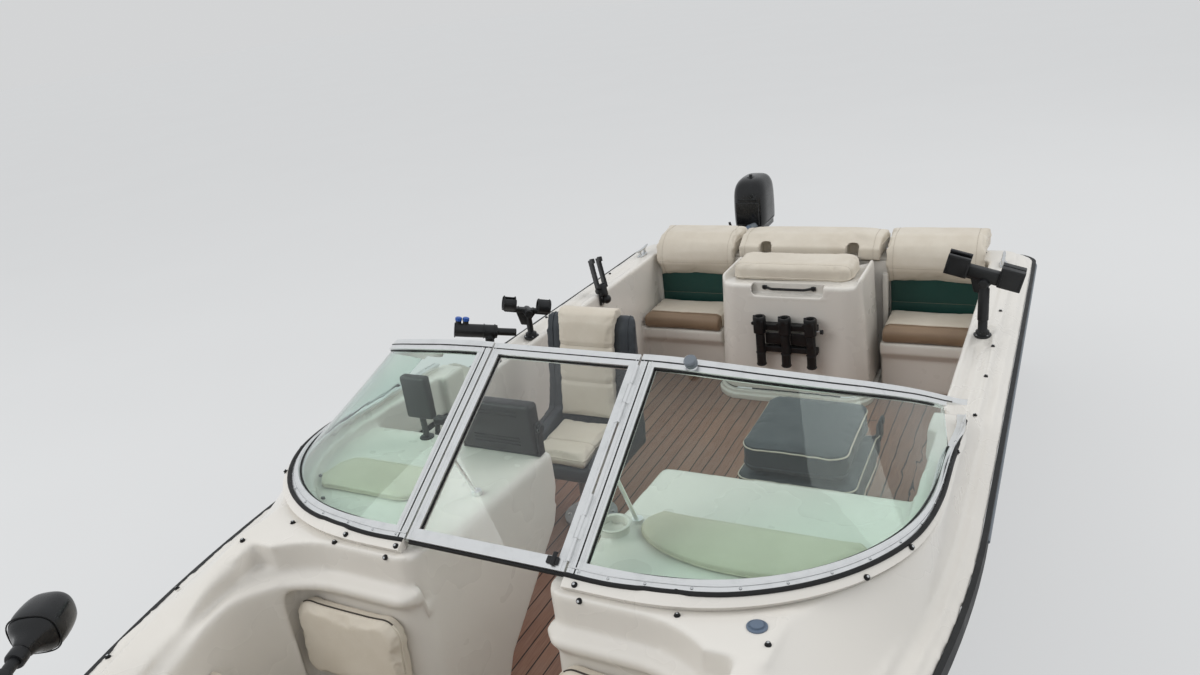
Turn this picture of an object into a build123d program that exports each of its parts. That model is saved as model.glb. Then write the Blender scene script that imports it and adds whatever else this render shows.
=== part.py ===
from build123d import *
import os
from math import sqrt, radians, degrees, sin, cos, atan2

# Bowrider speedboat afloat, in millimetres. +Z is up, the bow points to -Y, port is +X.
# The origin is on the waterline at the centreline, amidships.
# Stations are written as s, the distance forward of the transom, so y = TRANSOM_Y - s.

# Driving dimensions of the hull and deck
TRANSOM_Y = 2760
HALF_BEAM = 1127
STRAIGHT_S = 2750          # the sides run straight to here, then curve in to the bow
BOW_RADIUS = 4100          # plan radius of each side from there to the stem
NOSE_RADIUS = 150
AFT_CORNER_RADIUS = 140
SHEER_AFT_Z = 620
SHEER_SLOPE = 0.018        # the sheer line is a shallow parabola in s
SHEER_CURVE = 4.0e-6
HULL_SKIN = 14
TRANSOM_THICKNESS = 40
SOLE_THICKNESS = 25
DECK_THICKNESS = 25
DECK_CROWN = 38            # rise of the deck's flat above its edge
RAIL_HEIGHT = 46
RAIL_PROUD = 16
SEAT_GAP = 0.3             # clearance of a piece that is carried by another one
PIN_CLEARANCE = 0.3

# Cockpit, bow well and consoles
CHANNEL_INSETS = (94, 172)
CHANNEL_S = (1180, 2290)
CHANNEL_DEPTH = 14
COCKPIT_INSET = 197        # gunwale width down to the cockpit opening
COCKPIT_AFT_S = 262
CONSOLE_AFT_S = 2830
CONSOLE_FRONT_S = 3600
WELL_INSET = 235
WELL_STEP = 45
WELL_STEP_DEPTH = 30
WELL_AFT_S = 3625
WELL_FRONT_S = 5000
WELL_CORNER = 250          # plan radius of the well's aft corners
WALK_CORNER = 60
LINER_SKIN = 14
WALK_HALF = 200            # half width of the walk-through
FOOTWELL_HALF = 250
FOOTWELL_FRONT_S = 4550
BENCH_Z = 350
BENCH_AFT_S = WELL_AFT_S + 45   # the bow liner starts here, and the consoles fill the corners aft of it

# Windshield
WS_HALF = 1010
WS_FRONT_S = 3520
WS_AFT_S = 2340
WS_CORNER = 600
WS_BASE_Z = 840            # height of its base line at WS_BASE_S
WS_BASE_S = 2350
WS_BASE_SLOPE = 0.06
GASKET = 12
POST_X = 250               # inner face of each post
POST_WIDTH = 44
RAIL_BOTTOM = 34
RAIL_TOP = 40
FRAME_DEPTH = 26
GLASS = 6

FAR = 4000


def at(s):
    """Y of station s."""
    return TRANSOM_Y - s


def sheer(s):
    """Height of the deck edge at station s."""
    return SHEER_AFT_Z + SHEER_SLOPE * s + SHEER_CURVE * s * s


def half_breadth(s):
    """Half breadth of the deck edge at station s."""
    ahead = max(0, s - STRAIGHT_S)
    return HALF_BEAM - BOW_RADIUS + sqrt(BOW_RADIUS ** 2 - ahead ** 2)


def side_profile(points):
    """Face in the centreline plane from a list of (s, z) points."""
    return Plane.YZ * make_face(Polyline([(at(s), z) for s, z in points], close=True))


def side_prism(points, x_low, x_high):
    """Solid between two x planes with the side profile (s, z)."""
    return Pos(x_low, 0, 0) * extrude(side_profile(points), x_high - x_low)


def block(x_low, x_high, s_low, s_high, z_low, z_high):
    """Box from its limits, with stations along the boat."""
    size = (x_high - x_low, s_high - s_low, z_high - z_low)
    middle = Pos((x_low + x_high) / 2, at((s_low + s_high) / 2), (z_low + z_high) / 2)
    return middle * Box(*size)


def below_sheer(offset):
    """Everything below the sheer line raised by offset."""
    stations = (-300, 2800, 5900)
    curve = ThreePointArc(*[(at(s), sheer(s) + offset) for s in stations])
    first, last = curve @ 0, curve @ 1
    sides = Polyline(last, (last.X, -FAR), (first.X, -FAR), first)
    return extrude(Plane.YZ * make_face([curve, sides]), amount=FAR, both=True)


def below_windshield_base(offset):
    """Everything below the sloping plane that the windshield stands on."""
    ends = (-500, 5900)
    top = [(s, windshield_base(s) + offset) for s in ends]
    return side_prism(top + [(ends[1], -FAR), (ends[0], -FAR)], -FAR, FAR)


def windshield_base(s):
    return WS_BASE_Z + WS_BASE_SLOPE * (s - WS_BASE_S)


def outline(inset, aft_s, corner=0, nose=NOSE_RADIUS):
    """Plan of the boat inside its deck edge, as a sketch on z = 0."""
    half = HALF_BEAM - inset
    radius = BOW_RADIUS - inset
    centre = BOW_RADIUS - HALF_BEAM
    straight = Pos(0, at((aft_s + STRAIGHT_S) / 2)) * Rectangle(2 * half, STRAIGHT_S - aft_s)
    lens = Pos(-centre, at(STRAIGHT_S)) * Circle(radius) & Pos(centre, at(STRAIGHT_S)) * Circle(radius)
    bow = lens & Pos(0, at(STRAIGHT_S) - FAR / 2) * Rectangle(2 * FAR, FAR)
    plan = straight + bow
    if nose:
        plan = fillet(plan.vertices().sort_by(Axis.Y)[0], max(nose - inset / 3, 20))
    if corner:
        plan = fillet(plan.vertices().sort_by(Axis.Y)[-2:], corner)
    return plan


def strip(s_low, s_high, half=FAR):
    """Rectangle across the plan between two stations."""
    return Pos(0, at((s_low + s_high) / 2)) * Rectangle(2 * half, s_high - s_low)


def rod(start, end, radius):
    """Round bar between two points."""
    start, end = Vector(*start), Vector(*end)
    along = end - start
    return Plane(origin=start, z_dir=along.normalized()) * Pos(0, 0, along.length / 2) * Cylinder(radius, along.length)


def mirrored(shape):
    return mirror(shape, about=Plane.YZ)


def both_sides(shape):
    return Compound(children=[*shape.solids(), *mirrored(shape).solids()])


# Hull form: flared sides over a V bottom whose keel curves up to the stem
KEEL_Z = -400
KEEL_STRAIGHT_S = 3300     # the keel is level to here
KEEL_RADIUS = 2900
KEEL_END_ANGLE = 50
DEADRISE = 19
ENTRY_SKEW = 0.4           # how far the bottom's ribs sweep aft as they go outboard
FLARE = 11
SHEER_TILT = 2.3           # mean slope of the deck edge
HULL_TOP_INSET = 2


def bottom_prism(skin, side):
    """Everything above one half of the V bottom, moved in by skin."""
    rise = skin / cos(radians(DEADRISE))
    radius = KEEL_RADIUS - rise
    angle = radians(KEEL_END_ANGLE)
    start = (at(KEEL_STRAIGHT_S), KEEL_Z + rise)
    end = (start[0] - radius * sin(angle), start[1] + radius * (1 - cos(angle)))
    tip = (end[0] - FAR * cos(angle), end[1] + FAR * sin(angle))
    half = angle / 2
    middle = (start[0] - radius * sin(half), start[1] + radius * (1 - cos(half)))
    aft = (at(-2 * FAR), start[1])
    curve = [Line(aft, start), ThreePointArc(start, middle, end), Line(end, tip)]
    lid = Polyline(tip, (tip[0], 2 * FAR), (aft[0], 2 * FAR), aft)
    face = Plane.YZ * make_face([*curve, lid])
    rib = Vector(side, ENTRY_SKEW, sin(radians(DEADRISE)) / cos(radians(DEADRISE)))
    start_face = Pos(*(rib * -1500)) * face
    return extrude(start_face, amount=3000 * rib.length, dir=rib)


def hull_form(skin, aft_s=0):
    """Solid inside the hull's outer surface, moved in by skin."""
    top = 330
    spread = top * sin(radians(FLARE)) / cos(radians(FLARE))
    inset = HULL_TOP_INSET + skin - spread
    plan = outline(inset, -600, nose=0)
    tilt = Pos(0, at(0), SHEER_AFT_Z + top) * Rot(-SHEER_TILT, 0, 0) * Pos(0, -at(0), 0)
    sides = extrude(tilt * plan, 1800, dir=(tilt * plan).faces()[0].normal_at() * -1, taper=FLARE)
    form = sides & bottom_prism(skin, 1) & bottom_prism(skin, -1)
    plan = outline(HULL_TOP_INSET + skin, aft_s, corner=AFT_CORNER_RADIUS - skin)
    return form & extrude(plan, 1800, both=True)


def make_hull():
    cavity = hull_form(HULL_SKIN, aft_s=TRANSOM_THICKNESS) & block(-FAR, FAR, -100, 5800, -SOLE_THICKNESS, FAR)
    hull = (hull_form(0) - cavity) & below_sheer(-DECK_THICKNESS)
    engine_bay = block(-ENGINE_BAY_HALF, ENGINE_BAY_HALF, 80, ENGINE_BAY_S, ENGINE_Z - SEAT_GAP, 0)
    return hull - engine_bay


def deck_band(inset, rise):
    """Plan of the deck inside inset, topped by the sheer line raised by rise."""
    plan = outline(inset, inset, corner=max(AFT_CORNER_RADIUS - inset, 30))
    prism = extrude(plan, 1100)
    return prism & below_sheer(rise)


def windshield_plan(inset, aft_s=WS_AFT_S):
    """Plan inside the windshield's base line."""
    front = WS_FRONT_S - inset
    half = WS_HALF - inset
    plan = Pos(0, at((aft_s + front) / 2)) * Rectangle(2 * half, front - aft_s)
    return fillet(plan.vertices().sort_by(Axis.Y)[:2], WS_CORNER - inset)


def well_plan(inset):
    grow = WELL_INSET - inset
    plan = outline(inset, 0, nose=0) & strip(WELL_AFT_S - grow, WELL_FRONT_S + grow)
    plan = fillet(plan.vertices().sort_by(Axis.Y)[-2:], WELL_CORNER + grow)
    return fillet(plan.vertices().sort_by(Axis.Y)[:2], 100)


def bow_opening(inset):
    """Plan of the well joined to the walk-through, with rounded corners where they meet."""
    aft = at(WELL_AFT_S - WELL_INSET + inset)
    plan = well_plan(inset) + strip(3300, WELL_AFT_S + 200, WALK_HALF)
    meeting = [v for v in plan.vertices() if abs(abs(v.X) - WALK_HALF) < 1 and abs(v.Y - aft) < 1]
    return fillet(meeting, WALK_CORNER)


# Smooth slope of the deck from the windshield's plinth out to the gunwale: x, s, z at its top, x, s at its foot
SHOULDER_ROWS = (
    (760, 3960, 797, 925, 3985),
    (772, 3800, 850, 945, 3850),
    (772, 3650, 903, 966, 3720),
    (790, 3500, 895, 990, 3570),
    (858, 3368, 887, 1010, 3430),
    (959, 3237, 879, 1034, 3290),
    (1022, 3084, 870, 1054, 3110),
    (1042, 2920, 860, 1066, 2930),
    (1042, 2600, 841, 1070, 2600),
    (1042, 2330, 824, 1072, 2330),
    (1000, 2060, 708, 1058, 2060),
)
SHOULDER_DEPTH = 70


def deck_shoulder():
    sections = []
    for x, s, z, foot_x, foot_s in SHOULDER_ROWS:
        top, foot = Vector(x, at(s), z), Vector(foot_x, at(foot_s), sheer(foot_s) + 14)
        inward = Vector(top.X - foot.X, top.Y - foot.Y, 0).normalized() * 60
        low = Vector(0, 0, foot.Z - SHOULDER_DEPTH - top.Z)
        corners = [top, foot, foot - Vector(0, 0, SHOULDER_DEPTH), top + inward + low, top + inward]
        sections.append(Face(Wire(Polyline(*corners, close=True))))
    return loft(sections)


def make_deck():
    deck = deck_band(0, 0)
    for inset, rise in ((26, 16), (72, DECK_CROWN)):
        deck += deck_band(inset, rise)
    plinth = extrude(windshield_plan(-34, aft_s=WS_AFT_S - 40), 1400) & below_windshield_base(-GASKET)
    plinth += extrude(strip(3300, WELL_AFT_S + 20, 790), 1400) & below_windshield_base(-GASKET)
    shoulder = deck_shoulder() & below_windshield_base(-GASKET)
    deck += plinth + shoulder + mirrored(shoulder)
    deck -= below_sheer(-DECK_THICKNESS)
    cockpit = outline(COCKPIT_INSET, COCKPIT_AFT_S, corner=40) & strip(COCKPIT_AFT_S, CONSOLE_AFT_S)
    deck -= extrude(cockpit, 1400)
    deck -= gunwale_channels()
    deck -= extrude(windshield_plan(50, aft_s=CONSOLE_AFT_S - 400), 1400)
    deck -= extrude(bow_opening(WELL_INSET), 1400)
    deck -= extrude(bow_opening(WELL_INSET - WELL_STEP), 1400) - below_sheer(DECK_CROWN - WELL_STEP_DEPTH)
    return deck + lid_hinge_leaves()


def gunwale_channels(floor_gap=0):
    """Room above the shallow channels along the gunwales."""
    band = outline(CHANNEL_INSETS[0], 0, nose=0) - outline(CHANNEL_INSETS[1], 0, nose=0)
    plan = band & strip(*CHANNEL_S)
    plan = fillet(plan.vertices(), 30)
    return extrude(plan, 1100) - below_sheer(DECK_CROWN - CHANNEL_DEPTH + floor_gap)


def cockpit_surround(gap):
    """The deck and liner round the cockpit, grown by gap, to trim what stands against them."""
    inside = outline(COCKPIT_INSET + gap, COCKPIT_AFT_S + gap, corner=40)
    ring = outline(-50, -50) - (inside & strip(0, CONSOLE_AFT_S))
    return (extrude(ring, 1100) & below_sheer(DECK_CROWN + gap)) - gunwale_channels(gap)


def make_rub_rail():
    ring = outline(-RAIL_PROUD, -RAIL_PROUD, corner=AFT_CORNER_RADIUS) - outline(0, 0, corner=AFT_CORNER_RADIUS)
    return (extrude(ring, 1100) & below_sheer(-8)) - below_sheer(-8 - RAIL_HEIGHT)


def make_sole():
    aft = TRANSOM_THICKNESS + 5
    plan = outline(COCKPIT_INSET - LINER_SKIN, aft, corner=40) & strip(aft, 3420)
    plan += strip(3400, FOOTWELL_FRONT_S, FOOTWELL_HALF)
    plan -= strip(0, ENGINE_BAY_S, ENGINE_BAY_HALF)
    slab = Pos(0, 0, -SOLE_THICKNESS + SEAT_GAP) * extrude(plan, SOLE_THICKNESS - SEAT_GAP)
    return slab & hull_form(HULL_SKIN + SEAT_GAP)


def make_cockpit_liner():
    aft = COCKPIT_AFT_S - LINER_SKIN
    ring = outline(COCKPIT_INSET - LINER_SKIN, aft, corner=40 + LINER_SKIN)
    ring -= outline(COCKPIT_INSET, COCKPIT_AFT_S, corner=40)
    ring = ring & strip(aft - 1, CONSOLE_FRONT_S - 200)
    walls = extrude(ring, 1100) & below_sheer(-DECK_THICKNESS)
    walls -= block(-JUMP_INNER_X, JUMP_INNER_X, 0, 400, -1, FAR)
    return walls


def make_bow_liner():
    bench = hull_form(HULL_SKIN + 3) & block(-FAR, FAR, BENCH_AFT_S, WELL_FRONT_S + 60, 0, BENCH_Z)
    bench -= block(-FOOTWELL_HALF, FOOTWELL_HALF, 0, FOOTWELL_FRONT_S, -1, FAR)
    ring = well_plan(WELL_INSET - LINER_SKIN) - well_plan(WELL_INSET)
    ring -= strip(0, BENCH_AFT_S)
    walls = (extrude(ring, 1100) & below_sheer(-DECK_THICKNESS)) - block(-FAR, FAR, 0, 6000, -1, BENCH_Z)
    return bench + walls


# Engine box and engine
ENGINE_BAY_HALF = 340
ENGINE_BAY_S = 700
ENGINE_Z = -215
ENGINE_TOP_Z = 560
BOX_HALF = 400
BOX_AFT_S = 368
BOX_FRONT_S = 765
BOX_FOOT_Z = 56
BOX_TOP_Z = 655
BOX_WALL = 10
BOX_CORNER = 120
PLINTH_PROUD = 32
LID_HINGE_S = 352
LID_HINGE_Z = 690
LID_HINGE_X = 250
LID_PIN_R = 7
JUMP_INNER_X = 430


def engine_box_plan(offset):
    half, front, aft = BOX_HALF + offset, BOX_FRONT_S + offset, BOX_AFT_S - 100
    plan = Pos(0, at((aft + front) / 2)) * Rectangle(2 * half, front - aft)
    return fillet(plan.vertices().sort_by(Axis.Y)[:2], BOX_CORNER + offset)


def behind_box():
    """Room behind the engine box, which stands open at the back."""
    return block(-FAR, FAR, -200, BOX_AFT_S, -FAR, FAR)


def make_engine_box():
    height = BOX_TOP_Z - BOX_FOOT_Z
    shell = Pos(0, 0, BOX_FOOT_Z) * extrude(engine_box_plan(0), height, taper=2.5)
    top_edges = shell.faces().sort_by(Axis.Z)[-1].edges().sort_by(Axis.Y)[:-1]
    shell = fillet(top_edges, 18)
    hollow_plan = engine_box_plan(-BOX_WALL)
    shell -= Pos(0, 0, BOX_FOOT_Z - 1) * extrude(hollow_plan, height - BOX_WALL + 1, taper=2.5)
    shell -= behind_box()
    notch = block(-HANDLE_HALF - 60, HANDLE_HALF + 60, BOX_FRONT_S - 75, BOX_FRONT_S + 50, BOX_TOP_Z - 60, FAR)
    notch = fillet(notch.edges().filter_by(Axis.Y).group_by(Axis.Z)[0], 30)
    floor = block(-HANDLE_HALF - 75, HANDLE_HALF + 75, BOX_FRONT_S - 85, BOX_FRONT_S - 22,
                  BOX_TOP_Z - 70, BOX_TOP_Z - 60)
    back = block(-HANDLE_HALF - 75, HANDLE_HALF + 75, BOX_FRONT_S - 85, BOX_FRONT_S - 75,
                 BOX_TOP_Z - 70, BOX_TOP_Z - BOX_WALL)
    shell = shell - notch + floor + back
    for side in (-1, 1):
        ear = side_prism(((BOX_AFT_S, BOX_TOP_Z - 40), (BOX_AFT_S, LID_HINGE_Z - 12),
                          (LID_HINGE_S, LID_HINGE_Z - 12), (LID_HINGE_S, LID_HINGE_Z + 10),
                          (BOX_AFT_S + 14, LID_HINGE_Z + 10), (BOX_AFT_S + 14, BOX_TOP_Z - 40)),
                         side * LID_HINGE_X - 20, side * LID_HINGE_X + 20)
        shell += ear
    pin = Pos(0, at(LID_HINGE_S), LID_HINGE_Z) * Rot(0, 90, 0) * Cylinder(LID_PIN_R, 54)
    for side in (-1, 1):
        shell += Pos(side * LID_HINGE_X, 0, 0) * pin
    return shell


HANDLE_HALF = 130


def make_box_handle():
    path = FilletPolyline((-HANDLE_HALF, 0), (-HANDLE_HALF + 45, 30), (HANDLE_HALF - 45, 30), (HANDLE_HALF, 0),
                          radius=20)
    plane = Plane(origin=(0, at(BOX_FRONT_S - 75), BOX_TOP_Z - 26), x_dir=(1, 0, 0), z_dir=(0, 0, -1))
    bar = sweep(plane * (Plane(origin=path @ 0, z_dir=path % 0) * Circle(7)), path=plane * path)
    feet = [block(side * HANDLE_HALF - 12, side * HANDLE_HALF + 12, BOX_FRONT_S - 75, BOX_FRONT_S - 69,
                  BOX_TOP_Z - 36, BOX_TOP_Z - 16) for side in (-1, 1)]
    return bar + feet - block(-BOX_HALF, BOX_HALF, 0, BOX_FRONT_S - 75 + SEAT_GAP, 0, FAR)


def make_box_pad():
    pad = block(-335, 335, BOX_AFT_S + 34, BOX_FRONT_S - 82, BOX_TOP_Z + SEAT_GAP, BOX_TOP_Z + 78)
    pad = fillet(pad.edges().filter_by(Axis.Z), 70)
    return fillet(pad.faces().sort_by(Axis.Z)[-1].edges(), 26)


RACK_TUBE_R = 24
RACK_BORE_R = 19
RACK_SPACING = 135
RACK_Z = (225, 500)
RACK_S = BOX_FRONT_S + 36


def make_rod_rack():
    low, high = RACK_Z
    rack = None
    for step in (-1, 0, 1):
        tube = Pos(step * RACK_SPACING, at(RACK_S), (low + high) / 2) * Cylinder(RACK_TUBE_R, high - low)
        rack = tube if rack is None else rack + tube
    for z in (low + 90, high - 60):
        rack += block(-RACK_SPACING - 30, RACK_SPACING + 30, BOX_FRONT_S - 30, RACK_S - 10, z - 16, z + 16)
    for step in (-1, 0, 1):
        bore = Pos(step * RACK_SPACING, at(RACK_S), (low + high) / 2 + 8) * Cylinder(RACK_BORE_R, high - low)
        rack -= bore
    box_front = Pos(0, 0, BOX_FOOT_Z) * extrude(engine_box_plan(SEAT_GAP), BOX_TOP_Z - BOX_FOOT_Z, taper=2.5)
    return rack - box_front


def make_box_plinth():
    ring = engine_box_plan(PLINTH_PROUD) - engine_box_plan(-BOX_WALL)
    low = extrude(ring, 30)
    ring = engine_box_plan(PLINTH_PROUD - 14) - engine_box_plan(-BOX_WALL)
    high = extrude(ring, BOX_FOOT_Z - 5)
    return (low + high - behind_box()) & block(-JUMP_INNER_X + 2, JUMP_INNER_X - 2, 0, 1200, -10, 200)


def make_engine():
    return block(-250, 250, 120, 655, ENGINE_Z, ENGINE_TOP_Z - 60)


# Seats aft
JUMP_OUTER_X = HALF_BEAM - COCKPIT_INSET - 4
JUMP_FRONT_S = 600
CUSHION_Z = (298, 380)
BOLSTER_Z = 775
PANEL_S = (COCKPIT_AFT_S, COCKPIT_AFT_S + 16)


def make_jump_bases():
    base = side_prism(((COCKPIT_AFT_S + 20, SEAT_GAP), (COCKPIT_AFT_S + 20, CUSHION_Z[0] - SEAT_GAP),
                       (JUMP_FRONT_S - 20, CUSHION_Z[0] - SEAT_GAP), (JUMP_FRONT_S - 20, 240),
                       (JUMP_FRONT_S - 60, 200), (JUMP_FRONT_S - 60, SEAT_GAP)),
                      JUMP_INNER_X + 6, JUMP_OUTER_X)
    return both_sides(base - cockpit_surround(SEAT_GAP))


def jump_cushions():
    cushion = block(JUMP_INNER_X + 6, JUMP_OUTER_X, PANEL_S[1] + 6, JUMP_FRONT_S, *CUSHION_Z)
    front_top = cushion.edges().filter_by(Axis.X).group_by(Axis.Y)[0]
    return both_sides(fillet(front_top, 34) - cockpit_surround(SEAT_GAP))


def make_aft_panels():
    panel = block(JUMP_INNER_X + 6, JUMP_OUTER_X, PANEL_S[0], PANEL_S[1], CUSHION_Z[1] - 60, BOLSTER_LIP_Z - 4)
    return both_sides(panel - cockpit_surround(SEAT_GAP))


BOLSTER_LIP_Z = 505
AFT_DECK_Z = SHEER_AFT_Z + DECK_CROWN


def bolsters():
    lip = ((20, AFT_DECK_Z), (20, 735), (70, BOLSTER_Z), (225, BOLSTER_Z), (325, 720), (335, 540),
           (318, BOLSTER_LIP_Z), (COCKPIT_AFT_S + 2, BOLSTER_LIP_Z), (COCKPIT_AFT_S + 2, AFT_DECK_Z))
    side = side_prism(lip, BOX_HALF + 12, JUMP_OUTER_X)
    middle = side_prism(((30, AFT_DECK_Z), (30, 735), (80, BOLSTER_Z), (225, BOLSTER_Z), (322, 730),
                         (322, AFT_DECK_Z)), -BOX_HALF - 8, BOX_HALF + 8)
    middle -= [block(x - 34, x + 34, 200, 400, 0, 740) for x in (-LID_HINGE_X, LID_HINGE_X)]
    side -= cockpit_surround(SEAT_GAP)
    middle -= cockpit_surround(SEAT_GAP)
    return Compound(children=[*both_sides(side).solids(), *middle.solids()])


def make_aft_cushions():
    return Compound(children=[*jump_cushions().solids(), *bolsters().solids()])


def lid_hinge_leaves():
    """Fixed halves of the engine box hinge, on the edge of the aft deck."""
    hinges = []
    for x in (-LID_HINGE_X, LID_HINGE_X):
        for side in (-1, 1):
            leaf = side_prism(((COCKPIT_AFT_S - 8, 604), (COCKPIT_AFT_S - 8, 640),
                               (LID_HINGE_S - 12, LID_HINGE_Z + 12), (LID_HINGE_S + 12, LID_HINGE_Z + 12),
                               (LID_HINGE_S + 12, LID_HINGE_Z - 14), (290, 600)),
                              x + side * 24 - 3, x + side * 24 + 3)
            bore = Pos(x, at(LID_HINGE_S), LID_HINGE_Z) * Rot(0, 90, 0) * Cylinder(LID_PIN_R + PIN_CLEARANCE, 80)
            hinges.append(leaf - bore)
    return hinges


# Consoles
DASH_DEPTH = 45            # how far the dash lies below the windshield's base
CONSOLE_NOSE_Z = 690       # top of the console's bow face, which leans forward by CONSOLE_TOE at the sole
CONSOLE_TOE = 60
BACKREST_END_X = 636       # outboard end of the backrest pads on the console
CONSOLE_CORNER = 80        # rounding of each console's corner at the walk-through


def console(inner_x):
    """Console under the dash, with the dash top, the leg space and the leaning bow face."""
    plate = -DASH_DEPTH
    profile = (
        (CONSOLE_AFT_S - 10, windshield_base(CONSOLE_AFT_S) + plate - 12),
        (CONSOLE_AFT_S + 20, windshield_base(CONSOLE_AFT_S + 20) + plate),
        (WS_FRONT_S - 60, windshield_base(WS_FRONT_S - 60) + plate),
        (WS_FRONT_S - 60, 800),
        (CONSOLE_FRONT_S, CONSOLE_NOSE_Z),
        (CONSOLE_FRONT_S + CONSOLE_TOE, SEAT_GAP),
        (3400, SEAT_GAP),
        (3230, 300),
        (CONSOLE_AFT_S + 50, 560),
        (CONSOLE_AFT_S - 10, 680),
    )
    body = side_prism(profile, inner_x, WS_HALF - 60)
    nose = [e for e in body.edges() if abs(e.center().X - inner_x) < 1 and e.center().Y < at(WS_FRONT_S + 30)
            and abs((e @ 0).Z - (e @ 1).Z) > 300]
    body = fillet(nose, CONSOLE_CORNER)
    corner = block(BACKREST_END_X, FAR, CONSOLE_FRONT_S - 60, BENCH_AFT_S - SEAT_GAP, SEAT_GAP, FAR)
    body += corner - extrude(well_plan(WELL_INSET), 1400)
    under_deck = below_sheer(-DECK_THICKNESS - SEAT_GAP)
    dash = extrude(windshield_plan(54, aft_s=CONSOLE_AFT_S - 400), 1400)
    well = extrude(outline(COCKPIT_INSET + SEAT_GAP, 0), 1400)
    keep = (dash - below_sheer(SEAT_GAP - DECK_THICKNESS)) + (dash & well) + (well & under_deck)
    return body & keep


def make_helm_console():
    body = mirrored(console(WALK_HALF)) + wheel_column(46, 92, 230)
    return body - wheel_column(WHEEL_SHAFT_R + PIN_CLEARANCE, 40, WHEEL_SHAFT + 24)


def make_port_console():
    return console(WALK_HALF) + cup_holder()


# Windshield stations from the post to the aft tip: base x, base s, top x, top s, top z
WINDSHIELD_ROWS = (
    (250, 3520, 250, 2960, 1250),
    (410, 3520, 400, 2955, 1245),
    (640, 3474, 580, 2925, 1220),
    (834, 3344, 720, 2855, 1178),
    (964, 3150, 820, 2740, 1115),
    (1010, 2920, 900, 2585, 1030),
    (1010, 2640, 965, 2445, 950),
    (1010, 2360, 1012, 2305, 884),
)


def windshield_frames(rows):
    """Base point, unit vector up the glass, outward normal and height, for each row."""
    base = [Vector(x, at(s), windshield_base(s)) for x, s, *_ in rows]
    top = [Vector(x, at(s), z) for _, _, x, s, z in rows]
    frames = []
    for index, (low, high) in enumerate(zip(base, top)):
        before, after = max(index - 1, 0), min(index + 1, len(rows) - 1)
        along = (base[after] + top[after]) - (base[before] + top[before])
        up = (high - low).normalized()
        out = along.normalized().cross(up).normalized()
        frames.append((low, up, out, (high - low).length))
    return frames


def ribbon(rows, start, end, inner, outer):
    """Band along the windshield. A start or end at or below zero counts down from the top edge
    when it is given as ('top', depth)."""
    sections = []
    for low, up, out, height in windshield_frames(rows):
        a = height - start[1] if isinstance(start, tuple) else start
        b = height - end[1] if isinstance(end, tuple) else end
        corners = [low + up * a + out * inner, low + up * a + out * outer,
                   low + up * b + out * outer, low + up * b + out * inner]
        sections.append(Face(Wire(Polyline(*corners, close=True))))
    return loft(sections)


def windshield_rails():
    """Bottom and top rails of the port side."""
    parts = ribbon(WINDSHIELD_ROWS, 0, 16, 0, FRAME_DEPTH)
    lower = ribbon(WINDSHIELD_ROWS[:-1], 16, RAIL_BOTTOM, 0, FRAME_DEPTH)
    top = ribbon(WINDSHIELD_ROWS, ("top", 20), ("top", 0), 0, FRAME_DEPTH)
    upper = ribbon(WINDSHIELD_ROWS[:-1], ("top", RAIL_TOP), ("top", 20), 0, FRAME_DEPTH)
    return parts + lower + top + upper


def make_windshield_frame():
    low, up, out, height = windshield_frames(WINDSHIELD_ROWS)[0]
    plane = Plane(origin=low, x_dir=(1, 0, 0), z_dir=out)
    across = plane.to_local_coords(low + up * height)
    post = extrude(plane * (Pos(POST_WIDTH / 2, across.Y / 2) * Rectangle(POST_WIDTH, abs(across.Y))), FRAME_DEPTH)
    sides = both_sides(windshield_rails() + post)
    port, starboard = sides.solids()
    for z in HINGE_HEIGHTS:
        port += hinge_piece(z, HINGE_TUBE_R) + hinge_tab(z, 1)
        port -= hinge_piece(z, HINGE_PIN_R + PIN_CLEARANCE, 200)
    port += window_plane()[0] * (Pos(BUMPER_X, height - RAIL_TOP / 2, FRAME_DEPTH) * Cylinder(16, 44))
    return Compound(children=[*port.solids(), starboard, *make_struts().solids()])


def make_windshield_glass():
    gap = 3 * SEAT_GAP
    glass = ribbon(WINDSHIELD_ROWS[:-1], RAIL_BOTTOM + gap, ("top", RAIL_TOP + gap), 10, 10 + GLASS)
    glass -= block(0, POST_X + POST_WIDTH + gap, 0, 2 * FAR, 0, FAR)
    rails = windshield_rails()
    glass -= Pos(0, 0, -1) * rails
    glass -= rails
    return both_sides(glass)


def make_gasket():
    side = ribbon(WINDSHIELD_ROWS, -3 * GASKET, -2 * SEAT_GAP, -2, FRAME_DEPTH + 4)
    return both_sides(side - below_windshield_base(SEAT_GAP - GASKET))


WINDOW_GAP = 6
BUMPER_X = 400             # rubber bumper on the port top rail, which the open window meets
HINGE_HEIGHTS = (120, 520)
HINGE_TUBE_R = 5.5
HINGE_PIN_R = 3
HINGE_LENGTH = 60
HINGE_X = POST_X - WINDOW_GAP / 2
HINGE_OUT = FRAME_DEPTH + 5


def hinge_piece(height, radius, length=HINGE_LENGTH):
    """Length of the centre window's hinge line, on the port post."""
    plane, _ = window_plane()
    return plane * (Pos(HINGE_X, height, HINGE_OUT) * Rot(90, 0, 0) * Cylinder(radius, length))


def hinge_tab(height, side):
    plane, _ = window_plane()
    tab = Pos(HINGE_X + side * 7, height, HINGE_OUT - 3.5) * Box(12, HINGE_LENGTH, 4)
    return plane * tab


def window_plane():
    low, up, out, height = windshield_frames(WINDSHIELD_ROWS)[0]
    low = Vector(0, low.Y, low.Z)
    return Plane(origin=low, x_dir=(1, 0, 0), z_dir=Vector(1, 0, 0).cross(up)), height


def window_slab(half, low, high, inner, outer):
    plane, height = window_plane()
    slab = Pos(0, (low + high) / 2, (inner + outer) / 2) * Box(2 * half, high - low, outer - inner)
    return plane * slab


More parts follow.
